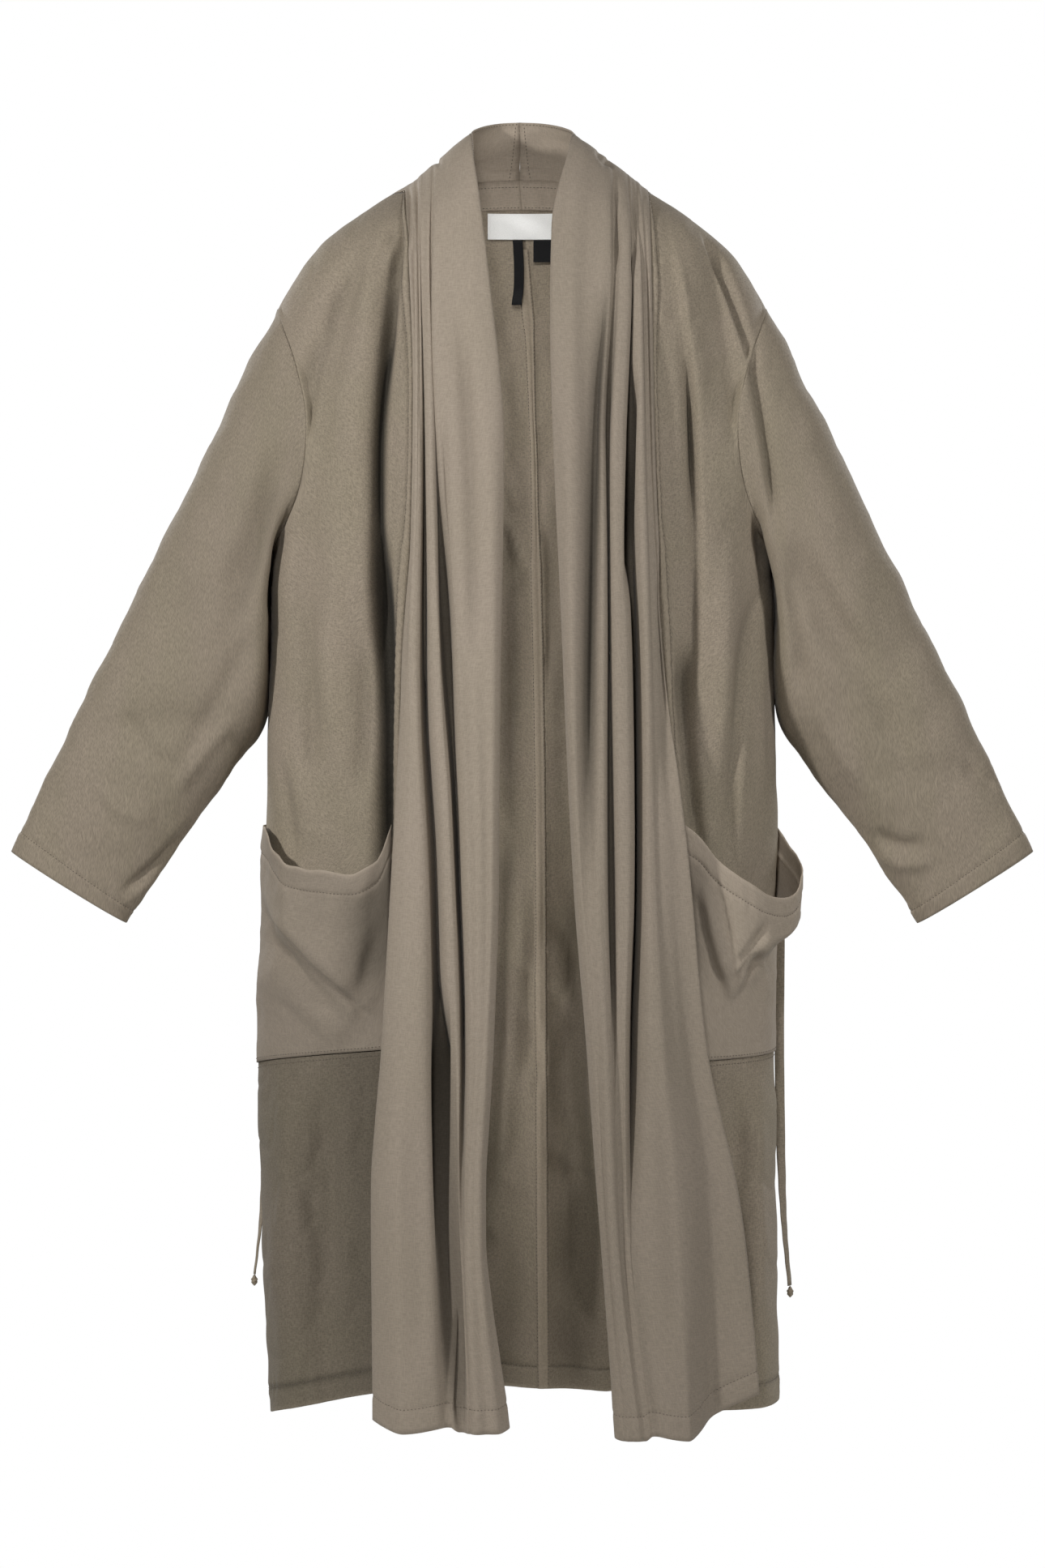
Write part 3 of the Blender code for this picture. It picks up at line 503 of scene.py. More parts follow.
def pocket_points(side, across, down):
    """A pocket's outer face: the front panel's points moved out, by its wall and then by its belly."""
    across, down = np.broadcast_arrays(across, down)
    mouth = read(POCKETS[side], "mouth", across)
    level = mouth + (POCKET_SEAM - mouth) * down
    out = POCKET_CLOTH + LAP_GAP + pocket_belly(side, across, down)
    return front_points(side, POCKET_INSET + (1 - POCKET_INSET) * across, level, out)


def collar_front_sections(side, levels):
    """The collar down the front: a section through its fold lines, slanting up near the neck."""
    sign = SIGN[side]
    levels = np.asarray(levels, float)
    lines = list(COLLAR_AWAY[side])[1:]
    up = levels[:, None]
    hem_share = ease(HEM + HEM_RISE_REACH, HEM, up)
    seam_edge = front_points(side, np.zeros(len(levels)), levels)
    away = np.stack([read(COLLAR_AWAY[side], line, levels) for line in lines], axis=1)
    out = np.stack([read(COLLAR_OUT[side], line, levels) for line in lines], axis=1)
    x = np.concatenate([seam_edge[:, :1], sign * away], axis=1)
    y = np.concatenate([seam_edge[:, 1:2] - COLLAR_SEAM_LIFT, seam_edge[:, 1:2] - out], axis=1)
    share = (x - x[:, :1]) / (x[:, -1:] - x[:, :1])
    z = up + read(SLANT, "rise", up) * np.clip(share, 0, 1)
    z = z + COLLAR_SEAM_LIFT * ease(COLLAR_LEVELS[1], 0, up)
    lift = np.array([0] + [OUTER_HEM_LIFT.get(line, 0) for line in lines])
    z = z + (lift + HEM_RISE[side]["collar"]) * hem_share
    return np.stack([x, y, z], axis=-1)


def collar_neck_sections(side, shares):
    """The standing collar from the centre back to the shoulder: sections from neckline to top edge."""
    sign = SIGN[side]
    turns = np.asarray(NECK_TURNS) * np.pi / 2
    seam = back_points(side, 1 - np.asarray(NECK_TURNS), np.zeros(len(turns)), -CLOTH / 2)
    seam[:, 2] += CLOTH / 4
    centre = read(BODY, "centre_seam", TOP_BACK_LEVEL)
    top = np.stack([
        centre + sign * TOP_HALF_WIDTH[side] * np.cos(turns),
        TOP_BACK * np.sin(turns),
        TOP_SIDE_LEVEL + (TOP_BACK_LEVEL - TOP_SIDE_LEVEL) * np.sin(turns),
    ], axis=-1)
    sections = seam[:, None] + (top - seam)[:, None] * shares[None, :, None]
    sections[..., 0] -= sign * NECK_HOLLOW * np.cos(turns)[:, None] * np.sin(np.pi * shares)
    return sections


def collar_net(side):
    """All the collar's sections, from the centre back round the neck and down the front to the hem."""
    front = collar_front_sections(side, COLLAR_LEVELS)
    run = run_length(front[0], 0)
    return np.concatenate([collar_neck_sections(side, run / run[-1]), front])


# Sizes of the visible cloth: its thickness, and the cells of its grids
SHELL, COLLAR_SHELL, POCKET_SHELL, NECK_SHELL = 0.0010, 0.0009, 0.0009, 0.0008
SEAM_BAND_SHELL, TIE_SHELL, LABEL_SHELL = 0.0007, 0.0014, 0.0006
FRONT_WIDTH, FRONT_CELL = 0.170, 0.0023
BACK_WIDTH, BACK_CELL, BACK_CROWD = 0.275, 0.0040, 0.7
POCKET_WIDTH, POCKET_DEPTH, POCKET_CELL = 0.165, 0.165, 0.0027
SLEEVE_LENGTH, SLEEVE_RINGS, SLEEVE_TURNS = 0.517, 136, 108
COLLAR_CELL, COLLAR_STEPS = 0.0065, 16
SEAM_BAND_COLUMNS, BESIDE_CENTRE = 12, 9
LABEL_ROWS, LABEL_COLUMNS = 31, 25

# Rows of stitches: how far each lies from its edge or seam, and the size of a stitch
TOPSTITCH = 0.0065
HEM_STITCH = 0.020
CUFF_STITCH = 0.019
MOUTH_STITCH = 0.019
POCKET_FOOT_STITCH = 0.0035
FOOT_STITCH = 0.0045
COLLAR_TOP_STITCH = 0.012
CENTRE_STITCH = 0.0022
SEAM_BAND_TOP, SEAM_BAND_EDGES = -0.030, (-0.0070, 0.0032)
SHOULDER_SEAM = 0.93
STITCH_PITCH, STITCH_SHARE = 0.0031, 0.66
STITCH_WIDTH, STITCH_HEIGHT, STITCH_LIFT = 0.00090, 0.00034, 0.00012

# Relief and looks of the hems: the groove on the stitches, the puckers beside it, an edge made lighter partly
# as wear and partly as painted highlight, and a dark line of painted shade in the stitch holes
HEM_GROOVE, HEM_GROOVE_WIDTH = 0.0008, 0.0018
HEM_PUCKER, HEM_PUCKER_REACH = 0.0004, 0.008
HEM_EDGE, HEM_SHADE_LINE, HEM_SHADE_LINE_WIDTH = 0.002, 0.35, 0.0014

# Creases seen from the front: three points on each line, its half width to the left and right of a line that
# runs down, and how far it stands out
CREASES = mm_rows(
    upper_left=(
        (-98.5, -20, -116.5, -215, -117, -440, 9, 4, -12),
        (-117, -290, -113, -450, -114.5, -780, 10, 5, -13),
        (-132, -50, -169, -150, -198, -300, 12, 5, -5),
        (-172, -115, -188, -175, -204, -220, 8, 6, -4),
        (-128, -55, -152, -125, -174, -215, 6, 6, -3),
        (-113, -45, -146, -171, -170, -327, 12, 14, 4),
        (-104, -38, -124, -164, -132, -341, 9, 9, -4),
        (-98, -27, -104, -55, -115, -89, 3.5, 5, -3),
        (-108, -29, -116, -55, -131, -89, 4, 5, -2.5),
        (-180, -205, -192, -273, -199, -395, 9, 7, 3),
        (-153, -286, -161, -395, -158, -525, 14, 12, 5),
        (-139, -368, -135, -450, -142, -538, 7, 9, -5.5),
        (-190, -327, -180, -429, -185, -531, 8, 10, -5),
        (-204, -484, -200, -531, -192, -572, 5, 7, -3),
    ),
    upper_right=(
        (121, -35, 139, -160, 146, -310, 13, 4, -7),
        (153, -35, 176, -92, 200, -172, 2.2, 4.5, -7.5),
        (122, -45, 137, -150, 132, -327, 14, 5, 4),
        (136, -100, 146.5, -290, 139, -480, 9, 3.5, -5.5),
        (139, -385, 140, -470, 160, -640, 7, 5, -8.5),
        (151, -35, 175, -137, 184, -246, 8, 8, -4),
        (177, -157, 201, -259, 209, -368, 6, 10, -4),
        (211, -330, 186, -436, 177, -620, 11, 4, -6),
        (177, -286, 171, -395, 175, -518, 12, 10, 3),
        (204, -368, 202, -450, 204, -531, 6, 6, 2.5),
    ),
    lower_left=(
        (-193, -742, -199, -858, -195, -1035, 14, 16, 3),
        (-172, -756, -165, -871, -169, -1031, 12, 12, -2.2),
        (-149, -749, -146, -871, -147, -1024, 10, 12, 3),
        (-204, -817, -185, -851, -168, -912, 6, 8, -1.5),
    ),
    lower_right=(
        (177, -742, 182, -858, 178, -1021, 12, 10, -2.2),
        (196, -749, 198, -871, 197, -1021, 10, 9, 3),
        (160, -749, 164, -858, 174, -939, 8, 8, 2),
    ),
    pocket_left=(
        (-215, -614, -178, -653, -122, -704, 6, 14, 6),
        (-220, -645, -187, -688, -137, -737, 20, 14, 7),
        (-224, -614, -172, -663.5, -112, -723, 2.6, 3.4, -5.5),
        (-220, -638, -202, -648, -186, -658, 2.4, 2.4, -2.5),
        (-198, -596, -165, -607, -118, -604, 5, 5, -1.5),
        (-113, -612, -130, -667, -146, -694, 8, 10, -5),
        (-193, -660, -165, -687, -138, -727, 9, 9, 2.5),
        (-213, -683, -186, -709, -159, -734, 8, 8, -2),
        (-206, -592, -198, -612, -198, -640, 5, 5, 2),
    ),
    pocket_right=(
        (150, -582, 160, -633, 178, -685, 8, 5, 5),
        (160, -580, 174.5, -635, 178.5, -690, 3, 3, -4),
        (212, -620, 194, -645, 178, -665, 3, 3, -5),
        (201, -645, 189, -663, 176, -681, 3, 3, -5),
        (213, -633, 199, -660, 183, -685, 5, 8, 4),
        (148, -592, 152, -640, 163, -694, 6, 7, -4),
        (187, -687, 173, -709, 160, -721, 7, 7, -2.5),
        (204, -654, 207, -694, 206, -732, 7, 7, 2),
    ),
    back=(
        (12, -420, 16, -780, 14, -1180, 34, 20, 6),
        (48, -480, 52, -780, 50, -1100, 18, 16, -7),
        (-50, -450, -46, -750, -40, -1100, 16, 18, -6),
        (-32, -115, -26, -259, -23, -388, 8, 8, -3),
        (-9.5, -560, -6, -725, -32, -930, 5, 16, 6),
        (-6, -660, 3.3, -674.6, 11.8, -690.6, 4, 4, -2.5),
        (0.3, -708, 10.3, -732.8, 5.5, -778, 4, 4, -2.5),
        (-10.3, -842, 0.3, -804, 11.8, -750, 6, 6, 3),
        (-19.6, -862, -2.9, -875, 12.4, -898, 5, 5, -3),
        (-29, -900, -16.4, -928.7, 3.3, -956, 6, 6, -3),
        (26, -628, 42.7, -662, 45, -698, 5, 5, -2.5),
        (28, -682, 42.7, -704, 52, -736, 6, 6, 3),
        (38.2, -725, 32, -774, 44.2, -825, 6, 6, -1.5),
        (26, -826, 38.2, -853, 65.4, -868, 6, 6, -3),
        (-17, -268, -8, -295, 1, -322, 4, 4, -3),
        (-17, -353, -8, -329, 1, -312, 4, 4, 2),
        (22, -260, 26, -340, 24, -440, 4, 4, -2.5),
        (11, -626, 4, -749, -3, -893, 8, 8, -5),
        (57, -626, 65, -742, 56, -893, 12, 10, 6),
        (40, -641, 36, -771, 40, -908, 7, 7, -1.5),
        (4, -763, -9, -836, -28, -879, 5, 6, -3),
        (33, -936, 52, -994, 62, -1037, 9, 9, 4),
        (-3, -936, -16, -994, -21, -1045, 9, 9, -3),
        (8, -713, 17, -749, 11, -799, 4, 4, -2),
        (33, -115, 40, -244, 37, -461, 9, 9, 3),
    ),
    sleeve_left=(
        (-204, -213, -223, -310, -265, -414, 12, 14, -4),
        (-218, -199, -239, -282, -280, -379, 12, 14, 3),
        (-226, -372, -253, -428, -300, -504, 9, 11, -3),
        (-273, -530, -311, -572, -350, -607, 3, 6, -3.5),
        (-268, -535, -305, -578, -345, -615, 4, 4, 2.5),
        (-343, -435, -323, -476, -287, -497, 8, 8, -2),
        (-363, -504, -343, -532, -308, -539, 7, 9, 2),
        (-239, -449, -273, -483, -304, -532, 6, 7, 2.5),
    ),
    sleeve_right=(
        (219, -282, 253, -359, 302, -435, 12, 14, -3.5),
        (233, -268, 274, -352, 323, -428, 12, 14, 3),
        (281, -407, 309, -449, 330, -504, 9, 9, -3),
        (298, -546, 323, -561, 354, -557, 7, 6, -3),
        (302, -561, 327, -578, 357, -571, 6, 6, 2.5),
        (377, -490, 395, -505, 413, -510, 7, 7, -2.5),
        (246, -428, 267, -476, 302, -525, 7, 9, 2),
        (223, -324, 231, -379, 239, -442, 5, 8, -4),
        (182, -100, 201, -195, 217, -320, 3, 6, -5.5),
    ),
    collar_left=(
        (-74.6, 29.4, -72.5, 23.8, -66.9, 18.9, 2.2, 2.2, -1.8),
        (-97, 8, -96, -28, -95, -66, 2, 2, -2.5),
        (-91, 9, -90, -28, -89, -70, 2, 2, -2.5),
        (-56, -80, -43, -260, -44, -460, 7, 6, -3.5),
        (-68, -140, -65, -330, -60, -520, 5, 5, -3),
        (-90, -740, -88, -880, -85, -1020, 10, 10, -1.8),
        (-64, -660, -60, -870, -49, -1090, 8, 6, -11),
    ),
    collar_right=(
        (62, 34.3, 67.6, 25.9, 73.9, 16.1, 2.2, 2.2, -2.2),
        (70.4, 28, 73.9, 22.4, 78.8, 18.2, 2.2, 2.2, -3),
        (78.8, 17.5, 79, -35, 78, -84, 2.5, 4, -2.5),
        (94.5, 3.5, 95.5, -42, 91.5, -90, 2.5, 4, -2.5),
        (74, -60, 59.5, -300, 57, -670, 9, 6, -8),
        (95.5, -150, 90.5, -250, 87, -370, 3, 3, -5),
        (115, -300, 118, -420, 123, -560, 6, 6, -3),
        (108, -720, 118, -860, 130, -1000, 12, 10, -2),
    ),
    collar_back=(
        (-45, 39.5, -10.7, 35.3, 32.2, 38.1, 4, 4, 1.6),
        (-39, 23.8, -3.6, 19.5, 39.3, 25.2, 4, 4, 1.6),
    ),
)
# Painted shade in the deep folds beside the collars: rows like those of the creases, but in metres, whose
# last number is how dark the painted shade is at each place
SHADES = {
    "upper_left": (
        (-0.11, -0.12, -0.1175, -0.215, -0.1175, -0.35, 0.003, 0.003, 1.7),
        (-0.118, -0.28, -0.114, -0.44, -0.1145, -0.66, 0.0055, 0.006, 1.7),
    ),
    "collar_right": (
        (0.0755, -0.06, 0.0615, -0.29, 0.053, -0.54, 0.0045, 0.0035, 0.8),
    ),
    "back": (
        (-0.011, -0.22, -0.01, -0.4, -0.013, -0.6, 0.01, 0.006, 0.85),
        (-0.012, -0.54, -0.015, -0.64, -0.018, -0.76, 0.009, 0.007, 0.95),
        (-0.018, -0.66, -0.021, -0.77, -0.036, -0.96, 0.012, 0.01, 0.9),
        (0.027, -0.2, 0.03, -0.38, 0.036, -0.6, 0.007, 0.01, 0.6),
        (0.043, -0.58, 0.052, -0.75, 0.064, -0.9, 0.012, 0.012, 0.9),
        (0.058, -0.84, 0.046, -0.96, 0.048, -1.08, 0.022, 0.03, 0.8),
    ),
}

# How strong the creases are, how dark the cloth of each piece is, where one side darker than the other is
# partly painted shade, the painted shade beside the collar, and its crumple: swells, dents and crinkles
FRONT_CREASES = {"upper": 1.3, "lower": 1.7}
SLEEVE_CREASES, BACK_CREASES, MIRRORED_CREASES, COLLAR_CREASES = 1.5, 1.6, 0.7, 1.35
FRONT_TONE_AND_SHADE = {"lower_left": 0.70}
POCKET_TONE_AND_SHADE = {"left": 0.46, "right": 0.0}
COLLAR_TONE_AND_SHADE = {"left": 0.06, "right": 0.26}
SLEEVE_TONE_AND_SHADE = {"left": 0.16, "right": 0.04}
BACK_TONE, TIE_TONE, NECK_TONE = 0.02, 0.13, 0.13
SHADE_BESIDE_COLLAR = {"lower": 0.25, "pocket": 0.55}
FRONT_CRUMPLE = {"upper": (0.0007, 0.00016, 0.0003), "lower": (0.0007, 0.0003, 0.0007)}
BACK_CRUMPLE, INNER_CRUMPLE = (0.0008, 0.0002, 0.0007), (0, 0.0003, 0.0003)
SLEEVE_CRUMPLE = (0.0007, 0.00014, 0.0003)
POCKET_CRUMPLE = (0.0006, 0.00014, 0.0003)
COLLAR_CRUMPLE = (0.0011, 0.00004, 0.0001)
SWELL_SIZE, DENT_SIZE, CRINKLE_SIZE, CRINKLE_WIDTH = 0.060, 0.017, 0.055, 0.20
SEEDS = {"upper": 100, "lower": 105, "back": 200, "sleeve": 300, "pocket": 400, "collar": 500}
BAND_SEED, NECK_SEED, TIE_SEED = 271, 600, 700
RIGHT_SEED = 10
WAVES, WAVE_SIZES = 14, (0.65, 1.6)
PUCKER_WANDER, PUCKER_WANDER_RUN = 1.7, 4
# Cells beside a sewn line, and how far from it the even ones stay away
SEWN_STEPS, SEWN_CLEAR = np.array([-0.6, -0.3, 0, 0.3, 0.6]), 0.7


def waves(place, size, seed):
    """A smooth uneven field: the sum of plane waves of about this size, in seeded directions and phases."""
    draw = np.random.default_rng(seed)
    ways = unit(draw.normal(size=(WAVES, place.shape[-1])))
    count = 2 * np.pi / (size * draw.uniform(*WAVE_SIZES, WAVES))
    phase = draw.uniform(0, 2 * np.pi, WAVES)
    total = np.zeros(place.shape[:-1])
    for way, waves_to_metre, start in zip(ways, count, phase):
        total += np.sin(waves_to_metre * (place @ way) + start)
    return total / np.sqrt(WAVES / 2)


def crumple(place, seed, swell, dent, crinkle):
    """Washed cloth: broad swells, small dents, and thin crinkles where a third field crosses zero."""
    height = swell * waves(place, SWELL_SIZE, seed) + dent * waves(place, DENT_SIZE, seed + 1)
    return height - crinkle * groove(waves(place, CRINKLE_SIZE, seed + 2), CRINKLE_WIDTH)


def ripple(run, pitch, seed):
    """Uneven puckers along a row of stitches: a wave whose phase wanders."""
    wander = PUCKER_WANDER * waves(run[..., None], PUCKER_WANDER_RUN * pitch, seed)
    return np.sin(run * 2 * np.pi / pitch + wander)


def hem_relief(rise, run, pitch, seed, depth=HEM_GROOVE, reach=HEM_PUCKER_REACH):
    """Relief of a stitched hem: a groove on the stitches, and puckers that fade out above and below them."""
    off = rise - HEM_STITCH
    puckers = HEM_PUCKER * ripple(run, pitch, seed) * groove(off, reach)
    return puckers - depth * groove(off, HEM_GROOVE_WIDTH)


def hem_shade_line(rise):
    """The dark line of a hem's stitches: painted shade in the stitch holes."""
    return HEM_SHADE_LINE * groove(rise - HEM_STITCH, HEM_SHADE_LINE_WIDTH)


def seed_of(kind, side):
    """The first of a piece's seeds, which keep its cloth the same in every run."""
    return SEEDS[kind] + RIGHT_SEED * (side == "right")


def spaced(start, stop, cell, lines=()):
    """Places from start to stop about a cell apart, with close ones on both sides of each sewn line."""
    even = np.linspace(start, stop, int(round(abs(stop - start) / cell)) + 1)
    lines = np.array(lines, float)
    if len(lines):
        even = even[np.abs(even[:, None] - lines).min(axis=1) > SEWN_CLEAR * cell]
    close = (lines[:, None] + cell * SEWN_STEPS).ravel()
    places = np.unique(np.concatenate([even, close, [start, stop]]))
    places = places[(places >= min(start, stop)) & (places <= max(start, stop))]
    return places if stop > start else places[::-1]


def nearest(places, line):
    """The number of the place that is nearest to a line."""
    return int(np.abs(np.asarray(places) - line).argmin())


def grid_normals(grid, inside, ring=False):
    """Each point's way straight out: the cross product of its steps down and across, away from inside."""
    down = np.gradient(grid, axis=0)
    across = np.roll(grid, -1, 1) - np.roll(grid, 1, 1) if ring else np.gradient(grid, axis=1)
    normals = unit(np.cross(down, across))
    return normals * np.sign((normals * (grid - np.asarray(inside))).sum())


def measured(base, inside):
    """A grid's ways out, its runs across and down, and its places across and up."""
    return grid_normals(base, inside), run_length(base, 1), run_length(base, 0), base[..., 0], base[..., 2]


def even_out(grid, passes=40):
    """The points averaged with those of the rows above and below, many times over."""
    grid = grid.copy()
    for _ in range(passes):
        grid[1:-1] = (grid[:-2] + 2 * grid[1:-1] + grid[2:]) / 4
    return grid


def closed_ring(grid):
    """A grid whose first column comes again as its last one."""
    return np.concatenate([grid, grid[:, :1]], axis=1)


def cells(index):
    """The four corners of each cell of a grid of numbers."""
    corners = (np.s_[:-1, :-1], np.s_[1:, :-1], np.s_[1:, 1:], np.s_[:-1, 1:])
    return np.stack([index[corner] for corner in corners], axis=-1).reshape(-1, 4)


def new_mesh(name, points, faces, uv=None):
    """A mesh of points and faces, with the UV of each face's corners in turn."""
    mesh = bpy.data.meshes.new(name)
    mesh.from_pydata(points.reshape(-1, 3).tolist(), [], faces)
    if uv is not None:
        layer = mesh.uv_layers.new(name="cloth")
        layer.data.foreach_set("uv", uv.astype(np.float32).ravel())
    return mesh


def link_piece(name, mesh, material, slot, solid=None):
    """Puts a finished mesh into the scene as a piece of the jacket."""
    mesh.materials.append(material)
    mesh.shade_smooth()
    piece = bpy.data.objects.new(name, mesh)
    bpy.context.scene.collection.objects.link(piece)
    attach(piece, "root")
    if solid:
        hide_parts(solid)
    return piece


def cloth_piece(name, solid, grid, inside, cloth, thickness=SHELL, offset=-1, ring=False, **marks):
    """A sheet over a grid of points, facing away from inside, with its width and length as UV.

    The cloth is a material and its slot. The marks are values for each point that the material reads: wear,
    from 0 to 1, lighter cloth that is partly worn edges and partly painted highlight; tone, which is darker
    cloth and painted shade up to 1 and painted deep shade up to 2; and hollow, from 0 to 1, painted shade on
    the faces towards the front only.
    """
    shape = grid.shape[:2]
    index = np.arange(grid[..., 0].size).reshape(shape)
    closed = closed_ring(grid) if ring else grid
    uv = np.stack([run_length(closed, 1), -run_length(closed, 0)], axis=-1).reshape(-1, 2)
    quads = cells(closed_ring(index) if ring else index)
    uv_quads = cells(np.arange(len(uv)).reshape(closed.shape[:2]))
    spots = grid.reshape(-1, 3)[quads]
    facing = np.cross(spots[:, 2] - spots[:, 0], spots[:, 3] - spots[:, 1])
    if (facing * (spots.mean(axis=1) - np.asarray(inside))).sum() < 0:
        quads, uv_quads = quads[:, ::-1], uv_quads[:, ::-1]
    mesh = new_mesh(name, grid, quads.tolist(), uv[uv_quads.ravel()])
    for mark, values in marks.items():
        attribute = mesh.attributes.new(mark, "FLOAT", "POINT")
        attribute.data.foreach_set("value", np.broadcast_to(values, shape).astype(np.float32).ravel())
    piece = link_piece(name, mesh, *cloth, solid)
    solidify = piece.modifiers.new("Cloth thickness", "SOLIDIFY")
    solidify.thickness = thickness
    solidify.offset = offset
    solidify.use_quality_normals = True
    return piece


def sewn_sheet(name, solid, grid, inside, cloth, rests_on, held="hung", ring=False, **looks):
    """A cloth piece.

    Gives each point's way straight out, for the rows of stitches.
    """
    piece = cloth_piece(name, solid, grid, inside, cloth, ring=ring, **looks)
    return grid_normals(grid, inside, ring)


stitches = {"left": [], "right": []}
SPINDLE = ((0, 1, 4), (1, 2, 4), (2, 3, 4), (3, 0, 4), (1, 0, 5), (2, 1, 5), (3, 2, 5), (0, 3, 5))


def sew(side, points, ways, where):
    """A row of stitches along one row or column of a grid: each is a small spindle of six points."""
    line, ways = points[where], ways[where]
    run = run_length(line, 0)
    middles = np.arange(STITCH_PITCH, run[-1] - STITCH_PITCH, STITCH_PITCH)
    if len(middles) == 0:
        return

    def read_off(values, places):
        return np.stack([np.interp(places, run, values[:, k]) for k in range(3)], axis=-1)

    half = STITCH_PITCH * STITCH_SHARE / 2
    start, middle, end = (read_off(line, middles + shift) for shift in (-half, 0, half))
    out = unit(read_off(ways, middles))
    aside = np.cross(out, unit(end - start)) * STITCH_WIDTH / 2
    middle = middle + out * STITCH_LIFT
    above, below = middle + out * STITCH_HEIGHT, middle - out * STITCH_HEIGHT
    stitches[side].append(np.stack([start, middle + aside, end, middle - aside, above, below], axis=1))


def make_stitching(side):
    """All the stitches of one side as one mesh."""
    points = np.concatenate(stitches[side])
    faces = np.arange(len(points))[:, None, None] * 6 + np.array(SPINDLE)[None]
    mesh = new_mesh("stitching_" + side, points, faces[..., ::-1].reshape(-1, 3).tolist())
    link_piece("stitching_" + side, mesh, thread, "main_cloth")


# Materials


def node(tree, kind, inputs=None, **settings):
    """A shader node with its settings, and its inputs as values or links."""
    made = tree.nodes.new(kind)
    for name, value in settings.items():
        setattr(made, name, value)
    for name, value in (inputs or {}).items():
        if isinstance(value, bpy.types.NodeSocket):
            tree.links.new(value, made.inputs[name])
        else:
            made.inputs[name].default_value = value
    return made


def calculate(tree, operation, first, second, kind="ShaderNodeMath"):
    """Two values or vectors put together by one operation."""
    return node(tree, kind, {0: first, 1: second}, operation=operation).outputs[0]


def noise(tree, place, scale, detail, roughness=0.5, dimensions="2D"):
    """A smooth noise from 0 to 1."""
    inputs = {"Vector": place, "Scale": scale, "Detail": detail, "Roughness": roughness}
    return node(tree, "ShaderNodeTexNoise", inputs, noise_dimensions=dimensions).outputs[0]


def span(tree, value, low, high, start=0.0, stop=1.0):
    """A value between low and high, spread evenly from start to stop."""
    inputs = {"Value": value, "From Min": low, "From Max": high, "To Min": start, "To Max": stop}
    return node(tree, "ShaderNodeMapRange", inputs).outputs[0]


def mix(tree, factor, first, second, blend="MIX"):
    """Two colours mixed or multiplied by a factor."""
    inputs = {0: factor, 6: first, 7: second}
    return node(tree, "ShaderNodeMix", inputs, data_type="RGBA", blend_type=blend).outputs[2]


def bump(tree, height, distance, **normal):
    """The normal of a relief of this height, over the cloth's own or another relief's normal."""
    inputs = {"Height": height, "Strength": 1.0, "Distance": distance}
    return node(tree, "ShaderNodeBump", {**inputs, **normal}).outputs[0]


def mark(tree, name):
    """A value that the mesh carries at each point."""
    return node(tree, "ShaderNodeAttribute", attribute_name=name).outputs["Fac"]


def shade(colour, by):
    """A colour made lighter or darker by a factor."""
    return tuple(part * by for part in colour[:3]) + (1,)


def group_with(name, inputs, outputs):
    """A node group with named number sockets, its inputs, and the cloth's UV inside it."""
    group = bpy.data.node_groups.new(name, "ShaderNodeTree")
    for direction, names in (("INPUT", inputs), ("OUTPUT", outputs)):
        for socket in names:
            group.interface.new_socket(socket, in_out=direction, socket_type="NodeSocketFloat")
    given = group.nodes.new("NodeGroupInput").outputs
    return group, given, node(group, "ShaderNodeUVMap", uv_map="cloth").outputs[0]


SLUB_RUN = 0.35


def make_weave_group():
    """Warp and weft: two noises, each drawn out along its own thread, with slubs as a third and fourth.

    Threads are the threads and slubs the thick places to a metre. Tone is light and dark threads, about 0.5,
    and relief is how high the upper thread stands.
    """
    group, given, uv = group_with("Woven threads", ("Threads", "Run", "Slubs"), ("Tone", "Slub", "Relief"))
    fields = []
    for scale in ("Threads", "Slubs"):
        run = given["Run"]
        if scale == "Slubs":
            run = calculate(group, "MULTIPLY", run, SLUB_RUN)
        for along, across in (("Y", "X"), ("X", "Y")):
            stretch = node(group, "ShaderNodeCombineXYZ", {across: given[scale], along: run}).outputs[0]
            spot = calculate(group, "MULTIPLY", uv, stretch, "ShaderNodeVectorMath")
            fields.append(noise(group, spot, 1.0, 1.0))
    both = calculate(group, "ADD", fields[0], fields[1])
    node(group, "NodeGroupOutput", {
        "Tone": calculate(group, "MULTIPLY", both, 0.5),
        "Slub": calculate(group, "MAXIMUM", fields[2], fields[3]),
        "Relief": calculate(group, "MAXIMUM", fields[0], fields[1]),
    })
    return group


def make_wash_group():
    """Garment wash: broad cloudy patches, and a fine crinkle from a second noise."""
    group, given, uv = group_with("Washed patches", ("Patches", "Crinkles"), ("Patch", "Crinkle"))
    patch = noise(group, uv, given["Patches"], 3.0, 0.55)
    crinkle = noise(group, uv, given["Crinkles"], 3.0, 0.6)
    node(group, "NodeGroupOutput", {"Patch": patch, "Crinkle": crinkle})
    return group


def new_material(name):
    """A material, its nodes, and the inputs of its surface."""
    material = bpy.data.materials.new(name)
    material.use_nodes = True
    tree = material.node_tree
    return material, tree, tree.nodes["Principled BSDF"].inputs


# Colours that the marks multiply in: darker cloth that also serves as painted shade, painted deep shade, and
# painted shade in the hollows inside the back; then how much lighter the edges are that are partly worn and
# partly painted highlight
DARKER_CLOTH_AND_SHADE, DEEP_SHADE, HOLLOW_SHADE = (0.40, 0.40, 0.39, 1), (0.22, 0.22, 0.21, 1), (0.40, 0.39, 0.37, 1)
WASH_PATCHES, WORN_AND_HIGHLIGHT, WORN_AND_HIGHLIGHT_SHARE = 9.0, 1.65, 0.38


